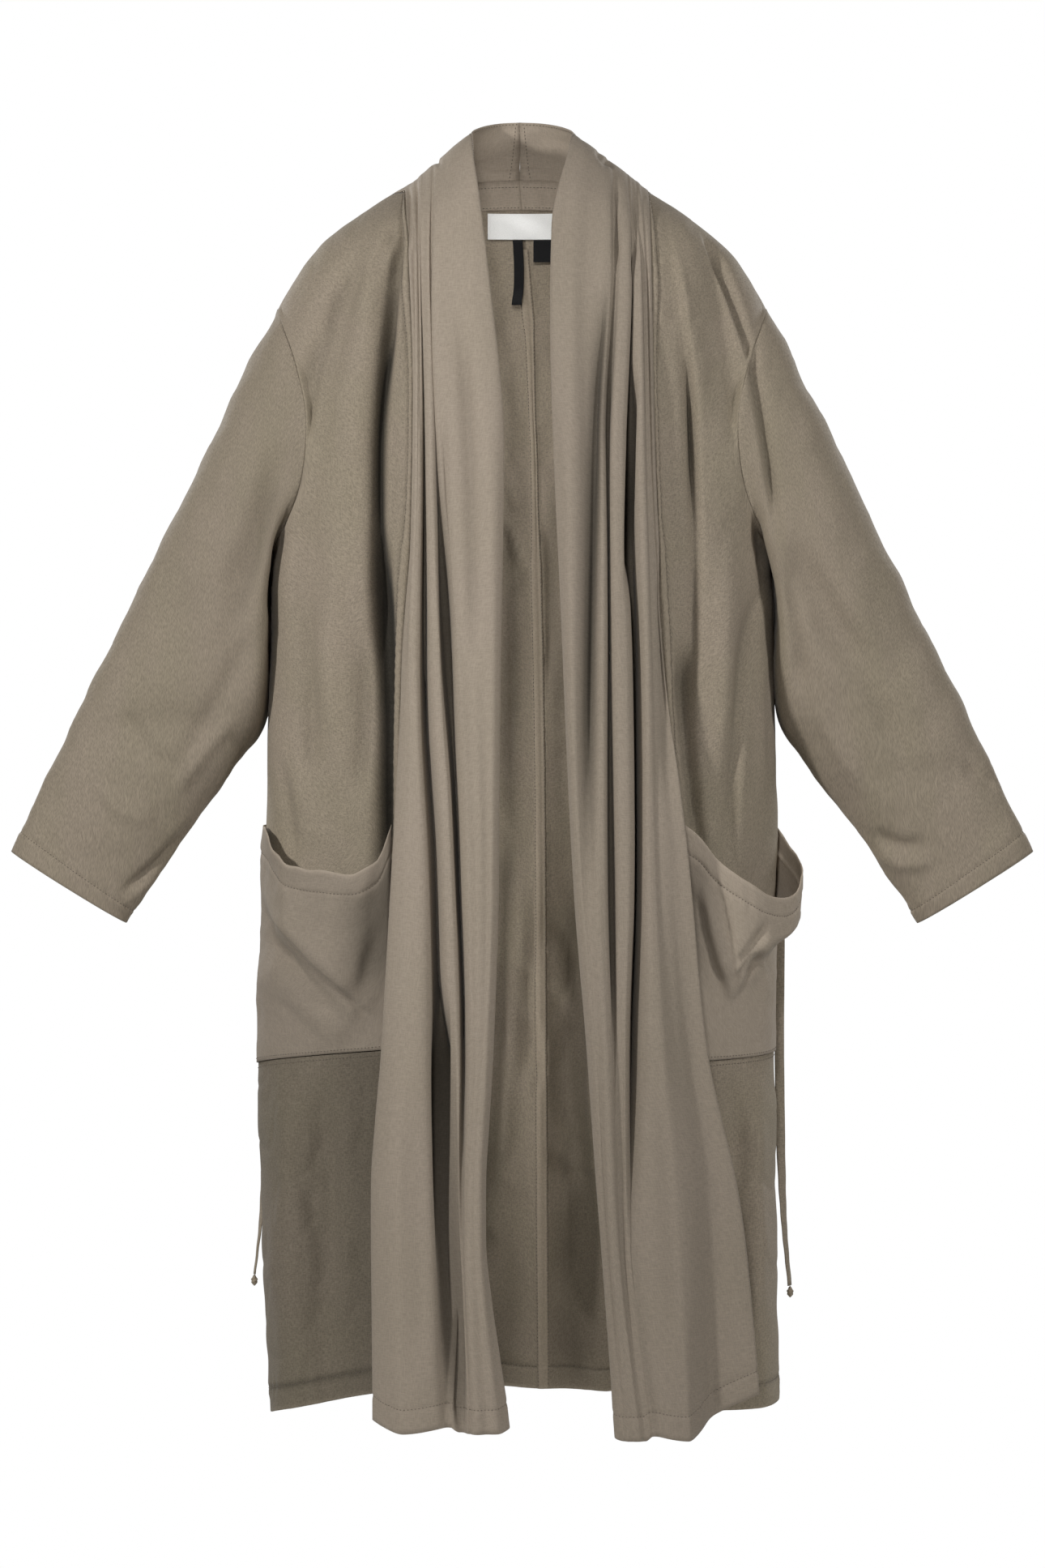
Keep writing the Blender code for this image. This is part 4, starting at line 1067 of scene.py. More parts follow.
def make_cloth(name, colour, tint, threads, run, slubs, contrast, relief, crinkle, crinkles, sheen):
    """A woven cloth: light and dark threads and slubs, washed patches, painted shade, edges lighter partly
    from wear and partly as painted highlight, and its relief.
    """
    material, tree, surface = new_material(name)
    surface["Sheen Weight"].default_value = sheen
    surface["Sheen Roughness"].default_value = 0.5
    surface["Specular IOR Level"].default_value = 0.25
    sizes = {"Threads": threads, "Run": run, "Slubs": slubs}
    weave = node(tree, "ShaderNodeGroup", sizes, node_tree=weave_group).outputs
    sizes = {"Patches": WASH_PATCHES, "Crinkles": crinkles}
    wash = node(tree, "ShaderNodeGroup", sizes, node_tree=wash_group).outputs
    faces = node(tree, "ShaderNodeNewGeometry").outputs["True Normal"]
    forward = node(tree, "ShaderNodeSeparateXYZ", {"Vector": faces}).outputs["Y"]
    threads_lit = span(tree, weave["Tone"], 0.33, 0.67)
    base = mix(tree, threads_lit, shade(colour, 1 - contrast), shade(colour, 1 + contrast))
    slubs_lit = span(tree, weave["Slub"], 0.60, 0.80, 0.0, 0.55)
    base = mix(tree, slubs_lit, base, shade(colour, 1 + 1.6 * contrast))
    tone = mark(tree, "tone")
    for share, tinge in (
        (span(tree, wash["Patch"], 0.36, 0.66, 0.0, 0.55), tint),
        (span(tree, tone, 0.0, 1.0), DARKER_CLOTH_AND_SHADE),
        (span(tree, tone, 1.0, 2.0), DEEP_SHADE),
        (span(tree, forward, 0.0, -0.25, 0.0, mark(tree, "hollow")), HOLLOW_SHADE),
    ):
        base = mix(tree, share, base, tinge, "MULTIPLY")
    worn_and_highlight = span(tree, mark(tree, "wear"), 0.0, 1.0, 0.0, WORN_AND_HIGHLIGHT_SHARE)
    tree.links.new(mix(tree, worn_and_highlight, base, shade(colour, WORN_AND_HIGHLIGHT)), surface["Base Color"])
    tree.links.new(span(tree, weave["Tone"], 0.3, 0.7, 0.88, 0.74), surface["Roughness"])
    fine = bump(tree, weave["Relief"], relief)
    tree.links.new(bump(tree, wash["Crinkle"], crinkle, Normal=fine), surface["Normal"])
    return material


TAPE_RELIEF, TAPE_GLOSS = 0.0001, 0.15


def make_tape(name, colour, other, threads, roughness):
    """A woven label tape or thread: fine ribs by Object coordinates, light and dark."""
    material, tree, surface = new_material(name)
    place = node(tree, "ShaderNodeTexCoord").outputs["Object"]
    ribs = noise(tree, place, threads, 2.0, dimensions="3D")
    tree.links.new(mix(tree, span(tree, ribs, 0.35, 0.65), colour, other), surface["Base Color"])
    tree.links.new(span(tree, ribs, 0.3, 0.7, roughness, roughness - TAPE_GLOSS), surface["Roughness"])
    tree.links.new(bump(tree, ribs, TAPE_RELIEF), surface["Normal"])
    return material


weave_group = make_weave_group()
wash_group = make_wash_group()
MAIN, MAIN_TINT = (0.268, 0.222, 0.168), (0.90, 0.93, 0.86, 1)
DRAPE, DRAPE_TINT = (0.335, 0.279, 0.220), (0.95, 0.96, 0.93, 1)
slubby_cloth = make_cloth("Slubby washed cloth", MAIN, MAIN_TINT, threads=1150.0, run=340.0, slubs=520.0,
                          contrast=0.19, relief=0.00018, crinkle=0.00035, crinkles=70.0, sheen=0.05)
smooth_cloth = make_cloth("Smooth draping cloth", DRAPE, DRAPE_TINT, threads=1300.0, run=190.0, slubs=600.0,
                          contrast=0.10, relief=0.00010, crinkle=0.00025, crinkles=60.0, sheen=0.06)
white_tape = make_tape("White label tape", (0.80, 0.80, 0.78, 1), (0.90, 0.90, 0.88, 1), 2200.0, 0.7)
black_tape = make_tape("Black label tape", (0.004, 0.004, 0.0045, 1), (0.009, 0.009, 0.010, 1), 2200.0, 0.7)
black_tape.node_tree.nodes["Principled BSDF"].inputs["Specular IOR Level"].default_value = 0.15
# The sewing thread is darker than the cloth, partly as painted shade of the stitch holes
thread = make_tape("Sewing thread", shade(MAIN, 0.40), shade(MAIN, 0.62), 900.0, 0.75)
main_cloth, drape_cloth = (slubby_cloth, "main_cloth"), (smooth_cloth, "drape_cloth")


# Pieces


def mouth_level(side, across):
    """The level of the pocket's mouth at a place across the front."""
    return read(POCKETS[side], "mouth", np.clip((across - POCKET_INSET) / (1 - POCKET_INSET), 0, 1))


# Spans over which a front's creases grow from its seams and end behind the pocket's mouth, and over which its
# large folds are evened out
FRONT_GROW = {"collar": (0.008, 0.045), "side": (0, 0.05), "foot": (0, 0.02), "top": (0, 0.03)}
BEHIND_MOUTH, EVENED = (0.004, -0.020), {"collar": (0, 0.05), "side": (0, 0.12)}
# How far the crumple is drawn out down the front, and painted shade that darkens the cloth in the deepest
# creases
FRONT_STRETCH, FRONT_SHADE, FRONT_SHADE_SPAN = 0.5, 0.95, (0.002, 0.017)
# The front's stitched fold beside the collar, its shoulder seam and its hem: ridges, grooves and puckers, and
# edges made lighter, partly as wear and partly as painted highlight
FOLD_RIDGE, FOLD_RIDGE_START, FOLD_RIDGE_END = 0.0010, 0.4, (0.9, 1.2)
FOLD_GROOVE, FOLD_GROOVE_WIDTH, FOLD_SHADE_LINE_WIDTH = 0.0014, 0.009, 0.008
FOLD_PUCKER, FOLD_PITCH, FOLD_PUCKER_REACH = 0.0005, 0.0095, 0.026
FOLD_WEAR_AND_HIGHLIGHT, FOLD_WEAR_AND_HIGHLIGHT_PLACE, FOLD_WEAR_AND_HIGHLIGHT_WIDTH = 0.6, 0.6, 0.010
SHOULDER_GROOVE, SHOULDER_GROOVE_WIDTH, SHOULDER_SPAN = 0.0007, 0.012, (-0.115, -0.095)
FRONT_HEM_SWELL, FRONT_HEM_SPAN, FRONT_HEM_PITCH, FRONT_HEM_WEAR_AND_HIGHLIGHT = 0.0005, (0.9, 1.15), 0.016, 0.7
# Painted shade on the lower front beside the collar, fading out across it
SHADE_BESIDE_COLLAR_SPAN = (0.04, 0.40)


def make_fronts(side):
    """The front above and below the pocket's foot seam."""
    seam = TOPSTITCH / FRONT_WIDTH
    across = spaced(0, 1, FRONT_CELL / FRONT_WIDTH, (seam, SHOULDER_SEAM))[None, :]
    levels = {
        "upper": spaced(0, POCKET_SEAM, FRONT_CELL)[:, None],
        "lower": spaced(POCKET_SEAM, HEM, FRONT_CELL, (HEM + HEM_STITCH,))[:, None],
    }
    for part, level in levels.items():
        name, seed = part + "_" + side, seed_of(part, side)
        base = front_points(side, across, level)
        evened = ease(*EVENED["collar"], across) * ease(*EVENED["side"], 1 - across)
        base = moved(base, even_out(base) - base, evened)
        out, u, v, x, z = measured(base, BODY_MIDDLE)
        held = ease(*FRONT_GROW["collar"], across) * ease(*FRONT_GROW["side"], 1 - across)
        held = held * ease(*FRONT_GROW["foot"], np.abs(level - POCKET_SEAM))
        held = held * ease(*FRONT_GROW["top"], -level)
        if part == "upper":
            mouth = mouth_level(side, across)
            held = held * (1 - ease(*BEHIND_MOUTH, level - mouth))
        folds = FRONT_CREASES[part] * held * crease_height(CREASES[name], x, z)
        place = np.stack([x, z * FRONT_STRETCH], axis=-1)
        height = folds + held**0.5 * crumple(place, seed, *FRONT_CRUMPLE[part])
        shoulder = groove(across - SHOULDER_SEAM, SHOULDER_GROOVE_WIDTH) * ease(*SHOULDER_SPAN, level)
        height = height - SHOULDER_GROOVE * shoulder
        ridge = (1 - ease(*FOLD_RIDGE_END, across / seam)) * ease(0, FOLD_RIDGE_START, across / seam)
        height = height + FOLD_RIDGE * ridge - FOLD_GROOVE * groove(across - seam, FOLD_GROOVE_WIDTH)
        pucker = FOLD_PUCKER * ripple(v, FOLD_PITCH, seed + 3)
        height = height + pucker * groove(across - seam, FOLD_PUCKER_REACH)
        wear = FOLD_WEAR_AND_HIGHLIGHT * groove(across - seam * FOLD_WEAR_AND_HIGHLIGHT_PLACE, FOLD_WEAR_AND_HIGHLIGHT_WIDTH)
        tone = FRONT_TONE_AND_SHADE.get(name, 0) + HEM_SHADE_LINE * groove(across - seam, FOLD_SHADE_LINE_WIDTH)
        tone = tone + FRONT_SHADE * ease(*FRONT_SHADE_SPAN, -folds)
        tone = tone + crease_height(SHADES.get(name, ()), x, z)
        if part == "lower":
            rise = level - HEM
            height = height + FRONT_HEM_SWELL * (1 - ease(*FRONT_HEM_SPAN, rise / HEM_STITCH))
            height = height + hem_relief(rise, u, FRONT_HEM_PITCH, seed + 4)
            wear = wear + FRONT_HEM_WEAR_AND_HIGHLIGHT * groove(rise, HEM_EDGE)
            tone = tone + SHADE_BESIDE_COLLAR["lower"] * (1 - ease(*SHADE_BESIDE_COLLAR_SPAN, across)) + hem_shade_line(rise)
        final = moved(base, out, height)
        holder = "back_" if part == "upper" else "front_upper_"
        ways = sewn_sheet(part + "_front_" + side, "front_%s_%s" % (part, side), final, BODY_MIDDLE,
                          main_cloth, [holder + side], wear=wear, tone=tone)
        sew(side, final, ways, np.s_[:, nearest(across[0], seam)])
        if part == "upper":
            sew(side, final, ways, (level[:, 0] > SHOULDER_END, nearest(across[0], SHOULDER_SEAM)))
        else:
            for line in (HEM + HEM_STITCH, POCKET_SEAM - FOOT_STITCH):
                sew(side, final, ways, nearest(level[:, 0], line))


# Spans over which the back's creases and crumple grow, where its inside and its outside show, and its painted
# shade in the hollows and deep creases inside it
BACK_GROW = {"side": (0, 0.10), "top": (0, 0.05), "centre": (0, 0.06)}
INSIDE_SHOWS, OUTSIDE_SHOWS, MIRRORED_SHIFT = (0.25, 0.45), (0.3, 0.5), (1.02, 0.02)
HOLLOW_SHARE, HOLLOW_SPAN, MOST_HOLLOW = 0.5, (0.001, 0.007), 0.95
# The crumple drawn out inside and outside, the hem's puckers, and its edge made lighter, partly as wear and
# partly as painted highlight
BACK_STRETCH, INNER_STRETCH, BACK_HEM_PITCH, BACK_HEM_WEAR_AND_HIGHLIGHT = 0.4, 0.2, 0.018, 0.6
# The centre seam's groove, the steps of the cells beside it, and the room below the top of the tie
CENTRE_GROOVE, CENTRE_GROOVE_WIDTH, CENTRE_STEP, CENTRE_CLEAR = 0.0007, 0.006, 0.45, 0.3
TIE_ROOM, BELOW_TIE_TOP = 0.014, (0.05, 0.01)


def make_back(side):
    """The back, with its felled centre seam, and creases that show inside and outside.

    Its outer faces carry the front's creases once more, and beside the tie nothing stands out.
    """
    seam = CENTRE_STITCH / BACK_WIDTH
    even = spaced(0, 1, BACK_CELL / BACK_WIDTH)
    even = even * (BACK_CROWD + (1 - BACK_CROWD) * even)
    beside = seam + CENTRE_STEP * seam * np.arange(-1, 3)
    across = np.concatenate([[0], beside, even[even > beside[-1] + CENTRE_CLEAR * seam]])[None, :]
    level = spaced(0, HEM, BACK_CELL, (HEM + HEM_STITCH,))[:, None]
    rise = level - HEM
    base = back_points(side, across, level)
    out, u, v, x, z = measured(base, BODY_MIDDLE)
    seed = seed_of("back", side)
    held = ease(*BACK_GROW["side"], 1 - across) * ease(*BACK_GROW["top"], -level)
    inner = 1 - ease(*INSIDE_SHOWS, across)
    folds = BACK_CREASES * held * crease_height(CREASES["back"], x, z)
    hollow = crease_height(SHADES["back"], x, z) + HOLLOW_SHARE * ease(*HOLLOW_SPAN, -folds)
    mirrored = crease_height(CREASES["upper_" + side], x * MIRRORED_SHIFT[0], z - MIRRORED_SHIFT[1])
    height = MIRRORED_CREASES * held * mirrored * ease(*OUTSIDE_SHOWS, across) - folds
    sizes = [outside + more * inner for outside, more in zip(BACK_CRUMPLE, INNER_CRUMPLE)]
    rough = crumple(np.stack([u, v * (BACK_STRETCH + INNER_STRETCH * inner)], axis=-1), seed, *sizes)
    height = height + held * ease(*BACK_GROW["centre"], across) * rough
    height = height - CENTRE_GROOVE * groove(across - seam, CENTRE_GROOVE_WIDTH)
    height = height + hem_relief(rise, u, BACK_HEM_PITCH, seed + 4)
    top = TIES[side]["level"][-1]
    beside_tie = groove(base[..., 1] - TIE_DEPTH[side], TIE_ROOM) * ease(*BELOW_TIE_TOP, level - top)
    final = moved(base, out, height - np.maximum(height, 0) * beside_tie)
    ways = sewn_sheet("whole_back_" + side, "back_" + side, final, BODY_MIDDLE, main_cloth,
                      ["neck_facing_" + side], wear=BACK_HEM_WEAR_AND_HIGHLIGHT * groove(rise, HEM_EDGE),
                      tone=BACK_TONE + hem_shade_line(rise), hollow=np.clip(hollow, 0, MOST_HOLLOW))
    row = nearest(level[:, 0], HEM + HEM_STITCH)
    sew(side, final, ways, row)
    sew(side, final - ways * SHELL, -ways, row)
    sew(side, final, ways, np.s_[:, nearest(across[0], seam)])
    return final, ways


SEAM_BAND_LIFT, SEAM_BAND_SWELL, SEAM_BAND_PUCKER, SEAM_BAND_PITCH = 0.0002, 0.0007, 0.0003, 0.011
# The band's face made lighter, partly as wear and partly as painted highlight, and a line of painted shade
# along its two rows of stitches
SEAM_BAND_WEAR_AND_HIGHLIGHT, SEAM_BAND_SHADE_LINE = 0.75, 0.7


def make_centre_band(left, right):
    """The felled seam inside the centre back: a narrow strip across the seam, sewn along both edges."""
    near = BESIDE_CENTRE
    both = [np.concatenate([a[:, near:0:-1], b[:, :near]], axis=1) for a, b in zip(left, right)]
    final, ways = (grid[both[0][:, near, 2] < SEAM_BAND_TOP] for grid in both)
    run = run_length(final, 1).mean(axis=0)
    places = run[near] + np.linspace(*SEAM_BAND_EDGES, SEAM_BAND_COLUMNS)
    share = np.interp(places, run, np.arange(len(run)))
    whole, part = np.floor(share).astype(int), (share % 1)[None, :, None]
    strip, outwards = (grid[:, whole] * (1 - part) + grid[:, whole + 1] * part for grid in (final, ways))
    inwards = -unit(outwards)
    run = run_length(strip, 0)
    swell = SEAM_BAND_SWELL * np.sin(np.pi * np.linspace(0, 1, SEAM_BAND_COLUMNS))[None, :] ** 0.5
    pucker = SEAM_BAND_PUCKER * ripple(run, SEAM_BAND_PITCH, BAND_SEED)
    strip = moved(strip, inwards, SHELL + SEAM_BAND_LIFT + swell + pucker)
    edges = [1, SEAM_BAND_COLUMNS - 2]
    sewn = np.zeros(SEAM_BAND_COLUMNS)
    sewn[edges] = SEAM_BAND_SHADE_LINE
    sewn_sheet("centre_seam_band", None, strip, FAR_BEHIND, main_cloth, ["back_left", "back_right"],
               thickness=SEAM_BAND_SHELL, wear=SEAM_BAND_WEAR_AND_HIGHLIGHT, tone=sewn[None, :])
    for column in edges:
        sew("right", strip, inwards, np.s_[:, column])


# The cuff's groove, fold and puckers, its edge made lighter partly as wear and partly as painted highlight,
# the armhole's groove, the painted shade in deep creases, and how full the sleeve is beside the body
CUFF_GROOVE, CUFF_GROOVE_WIDTH, CUFF_FOLD, CUFF_FOLD_SPAN = 0.0008, 0.0035, 0.0004, (-0.004, 0.002)
CUFF_PUCKER, CUFF_PUCKER_REACH, CUFF_PUCKERS, CUFF_WANDER = 0.0003, 0.012, 22, (2, 3)
CUFF_WEAR_AND_HIGHLIGHT, CUFF_WEAR_AND_HIGHLIGHT_WIDTH = 0.6, 0.004
ARMHOLE_GROOVE, ARMHOLE_GROOVE_WIDTH = 0.0005, 0.006
SLEEVE_GROW = {"armhole": (0, 0.03), "cuff": (-0.03, 0.03)}
SLEEVE_SIDES, SLEEVE_SHADE, SLEEVE_SHADE_SPAN = 2.5, 0.6, (0.003, 0.010)
SLEEVE_FULLNESS, FULLEST_LEVEL, FULLNESS_REACH = 0.0035, -0.42, 0.045


def make_sleeve(side):
    """A sleeve: the rings of its solid, with creases on its front, and the other sleeve's on its back."""
    sign = SIGN[side]
    other = "right" if side == "left" else "left"
    cuff = 1 - CUFF_STITCH / SLEEVE_LENGTH
    along = spaced(0, 1, 1 / SLEEVE_RINGS, (cuff,))[:, None]
    turn = np.linspace(0, 2 * np.pi, SLEEVE_TURNS, endpoint=False)[None, :]
    base = sleeve_points(side, along, turn)
    middle = base.mean(axis=(0, 1))
    out = grid_normals(base, middle, ring=True)
    held = ease(*SLEEVE_GROW["armhole"], along) * ease(*SLEEVE_GROW["cuff"], 1 - along)
    facing = np.clip(np.sin(turn) * SLEEVE_SIDES, -1, 1)
    x, z = base[..., 0], base[..., 2]
    front = crease_height(CREASES["sleeve_" + side], x, z) * np.maximum(facing, 0)
    back = crease_height(CREASES["sleeve_" + other], -x, z) * np.maximum(-facing, 0)
    folds = held * SLEEVE_CREASES * (front + back)
    height = folds + held * crumple(base, seed_of("sleeve", side), *SLEEVE_CRUMPLE)
    height = height - CUFF_GROOVE * groove(along - cuff, CUFF_GROOVE_WIDTH)
    height = height + CUFF_FOLD * ease(*CUFF_FOLD_SPAN, along - cuff)
    pucker = np.sin(turn * CUFF_PUCKERS + CUFF_WANDER[0] * np.sin(turn * CUFF_WANDER[1]))
    height = height + CUFF_PUCKER * pucker * groove(along - cuff, CUFF_PUCKER_REACH)
    height = height - ARMHOLE_GROOVE * groove(along, ARMHOLE_GROOVE_WIDTH)
    towards_body = np.maximum(0, -sign * out[..., 0])
    height = height + SLEEVE_FULLNESS * towards_body * groove(z - FULLEST_LEVEL, FULLNESS_REACH)
    final = moved(base, out, height)
    ways = sewn_sheet("whole_sleeve_" + side, "sleeve_" + side, final, middle, main_cloth,
                      ["front_upper_" + side, "back_" + side], ring=True,
                      wear=CUFF_WEAR_AND_HIGHLIGHT * groove(along - 1, CUFF_WEAR_AND_HIGHLIGHT_WIDTH),
                      tone=SLEEVE_TONE_AND_SHADE[side] + SLEEVE_SHADE * ease(*SLEEVE_SHADE_SPAN, -folds))
    sew(side, closed_ring(final), closed_ring(ways), nearest(along[:, 0], cuff))


# The pocket's turned mouth, with edges made lighter partly as wear and partly as painted highlight, and a
# dark line of painted shade along its stitches; how far its side is tucked under; and the painted shade
# beside the collar
MOUTH_GROOVE, MOUTH_GROOVE_WIDTH, MOUTH_GROOVE_START = 0.0006, 0.011, 0.04
MOUTH_PUCKER, MOUTH_PITCH, MOUTH_PUCKER_REACH = 0.0003, 0.014, 0.06
MOUTH_FOLD, MOUTH_FOLD_SPAN = 0.0005, (0.8, 1.1)
MOUTH_FLUTTER, MOUTH_FLUTTER_SIZE, MOUTH_FLUTTER_END = 0.0004, 0.030, 1.4
MOUTH_WEAR_AND_HIGHLIGHT, MOUTH_WEAR_AND_HIGHLIGHT_WIDTH, MOUTH_STITCH_WEAR_AND_HIGHLIGHT, MOUTH_STITCH_WIDTH = 0.9, 0.016, 0.3, 0.02
MOUTH_SHADE_LINE, MOUTH_SHADE_LINE_WIDTH = 0.12, 0.009
POCKET_GROW = {"side": (0, 0.08), "foot": (0, 0.10)}
POCKET_TUCK, POCKET_TUCK_SPAN = 0.0022, (0.94, 1.0)
BELLY_ROOM, LEAST_ROOM = 0.7, 0.0003
POCKET_SHADE_SPANS = {"across": (0.06, 0.24), "start": (0.05, 0.20), "end": (0.50, 0.75)}


def make_pocket(side):
    """A pocket: its solid's belly with creases, a turned mouth with a puckered row of stitches."""
    seed = seed_of("pocket", side)
    hem = MOUTH_STITCH / POCKET_DEPTH
    across = spaced(0, 1, POCKET_CELL / POCKET_WIDTH)[None, :]
    down = spaced(0, 1, POCKET_CELL / POCKET_DEPTH, (hem,))[:, None]
    base = pocket_points(side, across, down)
    out, u, v, x, z = measured(base, BODY_MIDDLE)
    held = ease(*POCKET_GROW["side"], across) * ease(*POCKET_GROW["side"], 1 - across)
    held = held * ease(*POCKET_GROW["foot"], 1 - down)
    height = held * crease_height(CREASES["pocket_" + side], x, z)
    height = height + held * crumple(np.stack([u, v], axis=-1), seed, *POCKET_CRUMPLE)
    height = np.maximum(height, -LEAST_ROOM - BELLY_ROOM * pocket_belly(side, across, down))
    sewn = groove(down - hem, MOUTH_GROOVE_WIDTH) * ease(0, MOUTH_GROOVE_START, across)
    pucker = ripple(u, MOUTH_PITCH, seed + 3) * groove(down - hem, MOUTH_PUCKER_REACH)
    height = height - MOUTH_GROOVE * sewn + held * MOUTH_PUCKER * pucker
    height = height + MOUTH_FOLD * (1 - ease(*MOUTH_FOLD_SPAN, down / hem))
    final = moved(base, out, height - POCKET_TUCK * ease(*POCKET_TUCK_SPAN, across))
    flutter = MOUTH_FLUTTER * waves(u[..., None], MOUTH_FLUTTER_SIZE, seed + 5) * held
    final[..., 2] += flutter * (1 - ease(0, MOUTH_FLUTTER_END, down / hem))
    spans = POCKET_SHADE_SPANS
    shade_beside_collar = (1 - ease(*spans["across"], across)) * ease(*spans["start"], down)
    shade_beside_collar = shade_beside_collar * (1 - ease(*spans["end"], down))
    tone = POCKET_TONE_AND_SHADE[side] + MOUTH_SHADE_LINE * groove(down - hem, MOUTH_SHADE_LINE_WIDTH)
    tone = tone + SHADE_BESIDE_COLLAR["pocket"] * shade_beside_collar
    wear = MOUTH_WEAR_AND_HIGHLIGHT * groove(down, MOUTH_WEAR_AND_HIGHLIGHT_WIDTH)
    wear = wear + MOUTH_STITCH_WEAR_AND_HIGHLIGHT * groove(down - hem, MOUTH_STITCH_WIDTH)
    ways = sewn_sheet("patch_pocket_" + side, "pocket_" + side, final, BODY_MIDDLE, drape_cloth,
                      ["front_upper_" + side], thickness=POCKET_SHELL, wear=wear, tone=tone)
    sew(side, final, ways, np.s_[nearest(down[:, 0], hem), 2:-2])
    sew(side, final, ways, nearest(down[:, 0], 1 - POCKET_FOOT_STITCH / POCKET_DEPTH))


def collar_surface(side):
    """The collar's folded sheet: smooth curves through its sections, down its length and then across."""
    net = collar_net(side)
    rows = np.concatenate([[0], np.cumsum(np.linalg.norm(np.diff(net, axis=0), axis=-1).mean(axis=1))])
    places = spaced(0, rows[-1], COLLAR_CELL, (rows[-1] - HEM_STITCH,))
    net = smooth_through(rows, net, places)
    knots = run_length(net, 1).mean(axis=0)
    lines = np.arange(len(knots))
    steps = np.interp(np.linspace(0, lines[-1], COLLAR_STEPS * lines[-1] + 1), lines, knots)
    return smooth_through(knots, net.transpose(1, 0, 2), steps).transpose(1, 0, 2), places


SLIT_SOFT, SLIT_LINE, SLIT_SHARPNESS = 0.55, 0.95, 9.0
SLIT_FADE, SLIT_HEM, SLIT_SHADE = (-0.93, -0.66), 0.12, (0.002, 0.006)


def sharpen_slits(side, grid):
    """Round crests and thin slits: the depth below two crests' chord becomes a square and a high power.

    Gives the points, and how near each lies to the bottom of a slit, where the collar is given painted shade.
    """
    lines = ["seam"] + list(COLLAR_AWAY[side])[1:]
    grid = grid.copy()
    within = np.zeros(grid.shape[:2])
    for slit in ("first_slit", "second_slit"):
        at = lines.index(slit) * COLLAR_STEPS
        columns = np.s_[:, at - COLLAR_STEPS:at + COLLAR_STEPS + 1]
        x, y, z = np.moveaxis(grid[columns], -1, 0)
        share = np.linspace(0, 1, x.shape[1])[None, :]
        chord = y[:, :1] * (1 - share) + y[:, -1:] * share
        depth = np.maximum(y - chord, 0)
        most = np.maximum(depth.max(axis=1, keepdims=True), 1e-6)
        near = depth / most
        fade = SLIT_HEM + (1 - SLIT_HEM) * ease(*SLIT_FADE, z)
        thin = most * fade * (SLIT_SOFT * near**2 + SLIT_LINE * near**SLIT_SHARPNESS)
        within[columns] = np.where(depth > 0, near**SLIT_SHARPNESS * fade * ease(*SLIT_SHADE, most), 0)
        grid[columns] = np.stack([x, np.where(y > chord, chord + thin, y), z], axis=-1)
    return grid, within


COLLAR_GROOVE, COLLAR_HEM_PITCH, COLLAR_PUCKER_REACH = 0.0007, 0.020, 0.010
# Spans over which the collar's swells grow from its seam and from the neck, and the depths between which its
# front creases end and its back creases begin
COLLAR_GROW = {"seam": (0, 0.12), "neck": (0.14, 0.30)}
NECK_CRUMPLE, COLLAR_STRETCH = 0.15, (2.4, 1 / 7)
FRONT_DEPTHS, BACK_DEPTHS = (0.02, 0), (0.04, 0.05)
# The collar's hem and free edge made lighter, partly as wear and partly as painted highlight
COLLAR_HEM_WEAR_AND_HIGHLIGHT, FREE_EDGE_WEAR_AND_HIGHLIGHT, FREE_EDGE_WIDTH = 0.5, 0.4, 0.010
# Painted shade at the bottom of the slits and in deep creases, and painted shade that darkens the collar
# towards the hem where less light falls
PAINTED_SLIT_SHADE, COLLAR_SHADE, COLLAR_SHADE_SPAN = 0.9, 0.6, (0.001, 0.009)
LOW_SHADE, LOW_SHADE_SPAN = 0.22, (-0.50, -0.95)


def make_collar(side):
    """The draped collar, with its soft unevenness, its hem and its top stitching."""
    base, places = collar_surface(side)
    base, within = sharpen_slits(side, base)
    out, u, v, x, z = measured(base, BEHIND)
    y = base[..., 1]
    seed = seed_of("collar", side)
    share = np.linspace(0, 1, base.shape[1])[None, :]
    rise = (places[-1] - places)[:, None]
    below_neck = NECK_CRUMPLE + (1 - NECK_CRUMPLE) * ease(*COLLAR_GROW["neck"], places)[:, None]
    lane = u.mean(axis=0, keepdims=True) + 0 * v
    place = np.stack([lane, v], axis=-1) * COLLAR_STRETCH
    folds = COLLAR_CREASES * crease_height(CREASES["collar_" + side], x, z) * ease(*FRONT_DEPTHS, y)
    height = ease(*COLLAR_GROW["seam"], share) * below_neck * crumple(place, seed, *COLLAR_CRUMPLE) + folds
    height = height + crease_height(CREASES["collar_back"], x, z) * ease(*BACK_DEPTHS, y)
    height = height + hem_relief(rise, u, COLLAR_HEM_PITCH, seed + 4, COLLAR_GROOVE, COLLAR_PUCKER_REACH)
    final = moved(base, out, height)
    wear = COLLAR_HEM_WEAR_AND_HIGHLIGHT * groove(rise, HEM_EDGE) + FREE_EDGE_WEAR_AND_HIGHLIGHT * groove(1 - share, FREE_EDGE_WIDTH)
    tone = COLLAR_TONE_AND_SHADE[side] + PAINTED_SLIT_SHADE * within + COLLAR_SHADE * ease(*COLLAR_SHADE_SPAN, -folds)
    tone = tone + LOW_SHADE * ease(*LOW_SHADE_SPAN, z)
    tone = tone + crease_height(SHADES.get("collar_" + side, ()), x, z)
    rests_on = ["front_upper_" + side, "front_lower_" + side, "back_" + side]
    ways = sewn_sheet("draped_collar_" + side, "collar_" + side, final, BEHIND, drape_cloth, rests_on,
                      held="draped", thickness=COLLAR_SHELL, offset=0, wear=wear, tone=tone)
    row = nearest(rise[:, 0], HEM_STITCH)
    width = run_length(final, 1).mean(axis=0)
    column = nearest(width, width[-1] - COLLAR_TOP_STITCH)
    for face in (1, -1):
        for where in (row, np.s_[:, column], 1):
            sew(side, final + ways * face * COLLAR_SHELL / 2, face * ways, where)


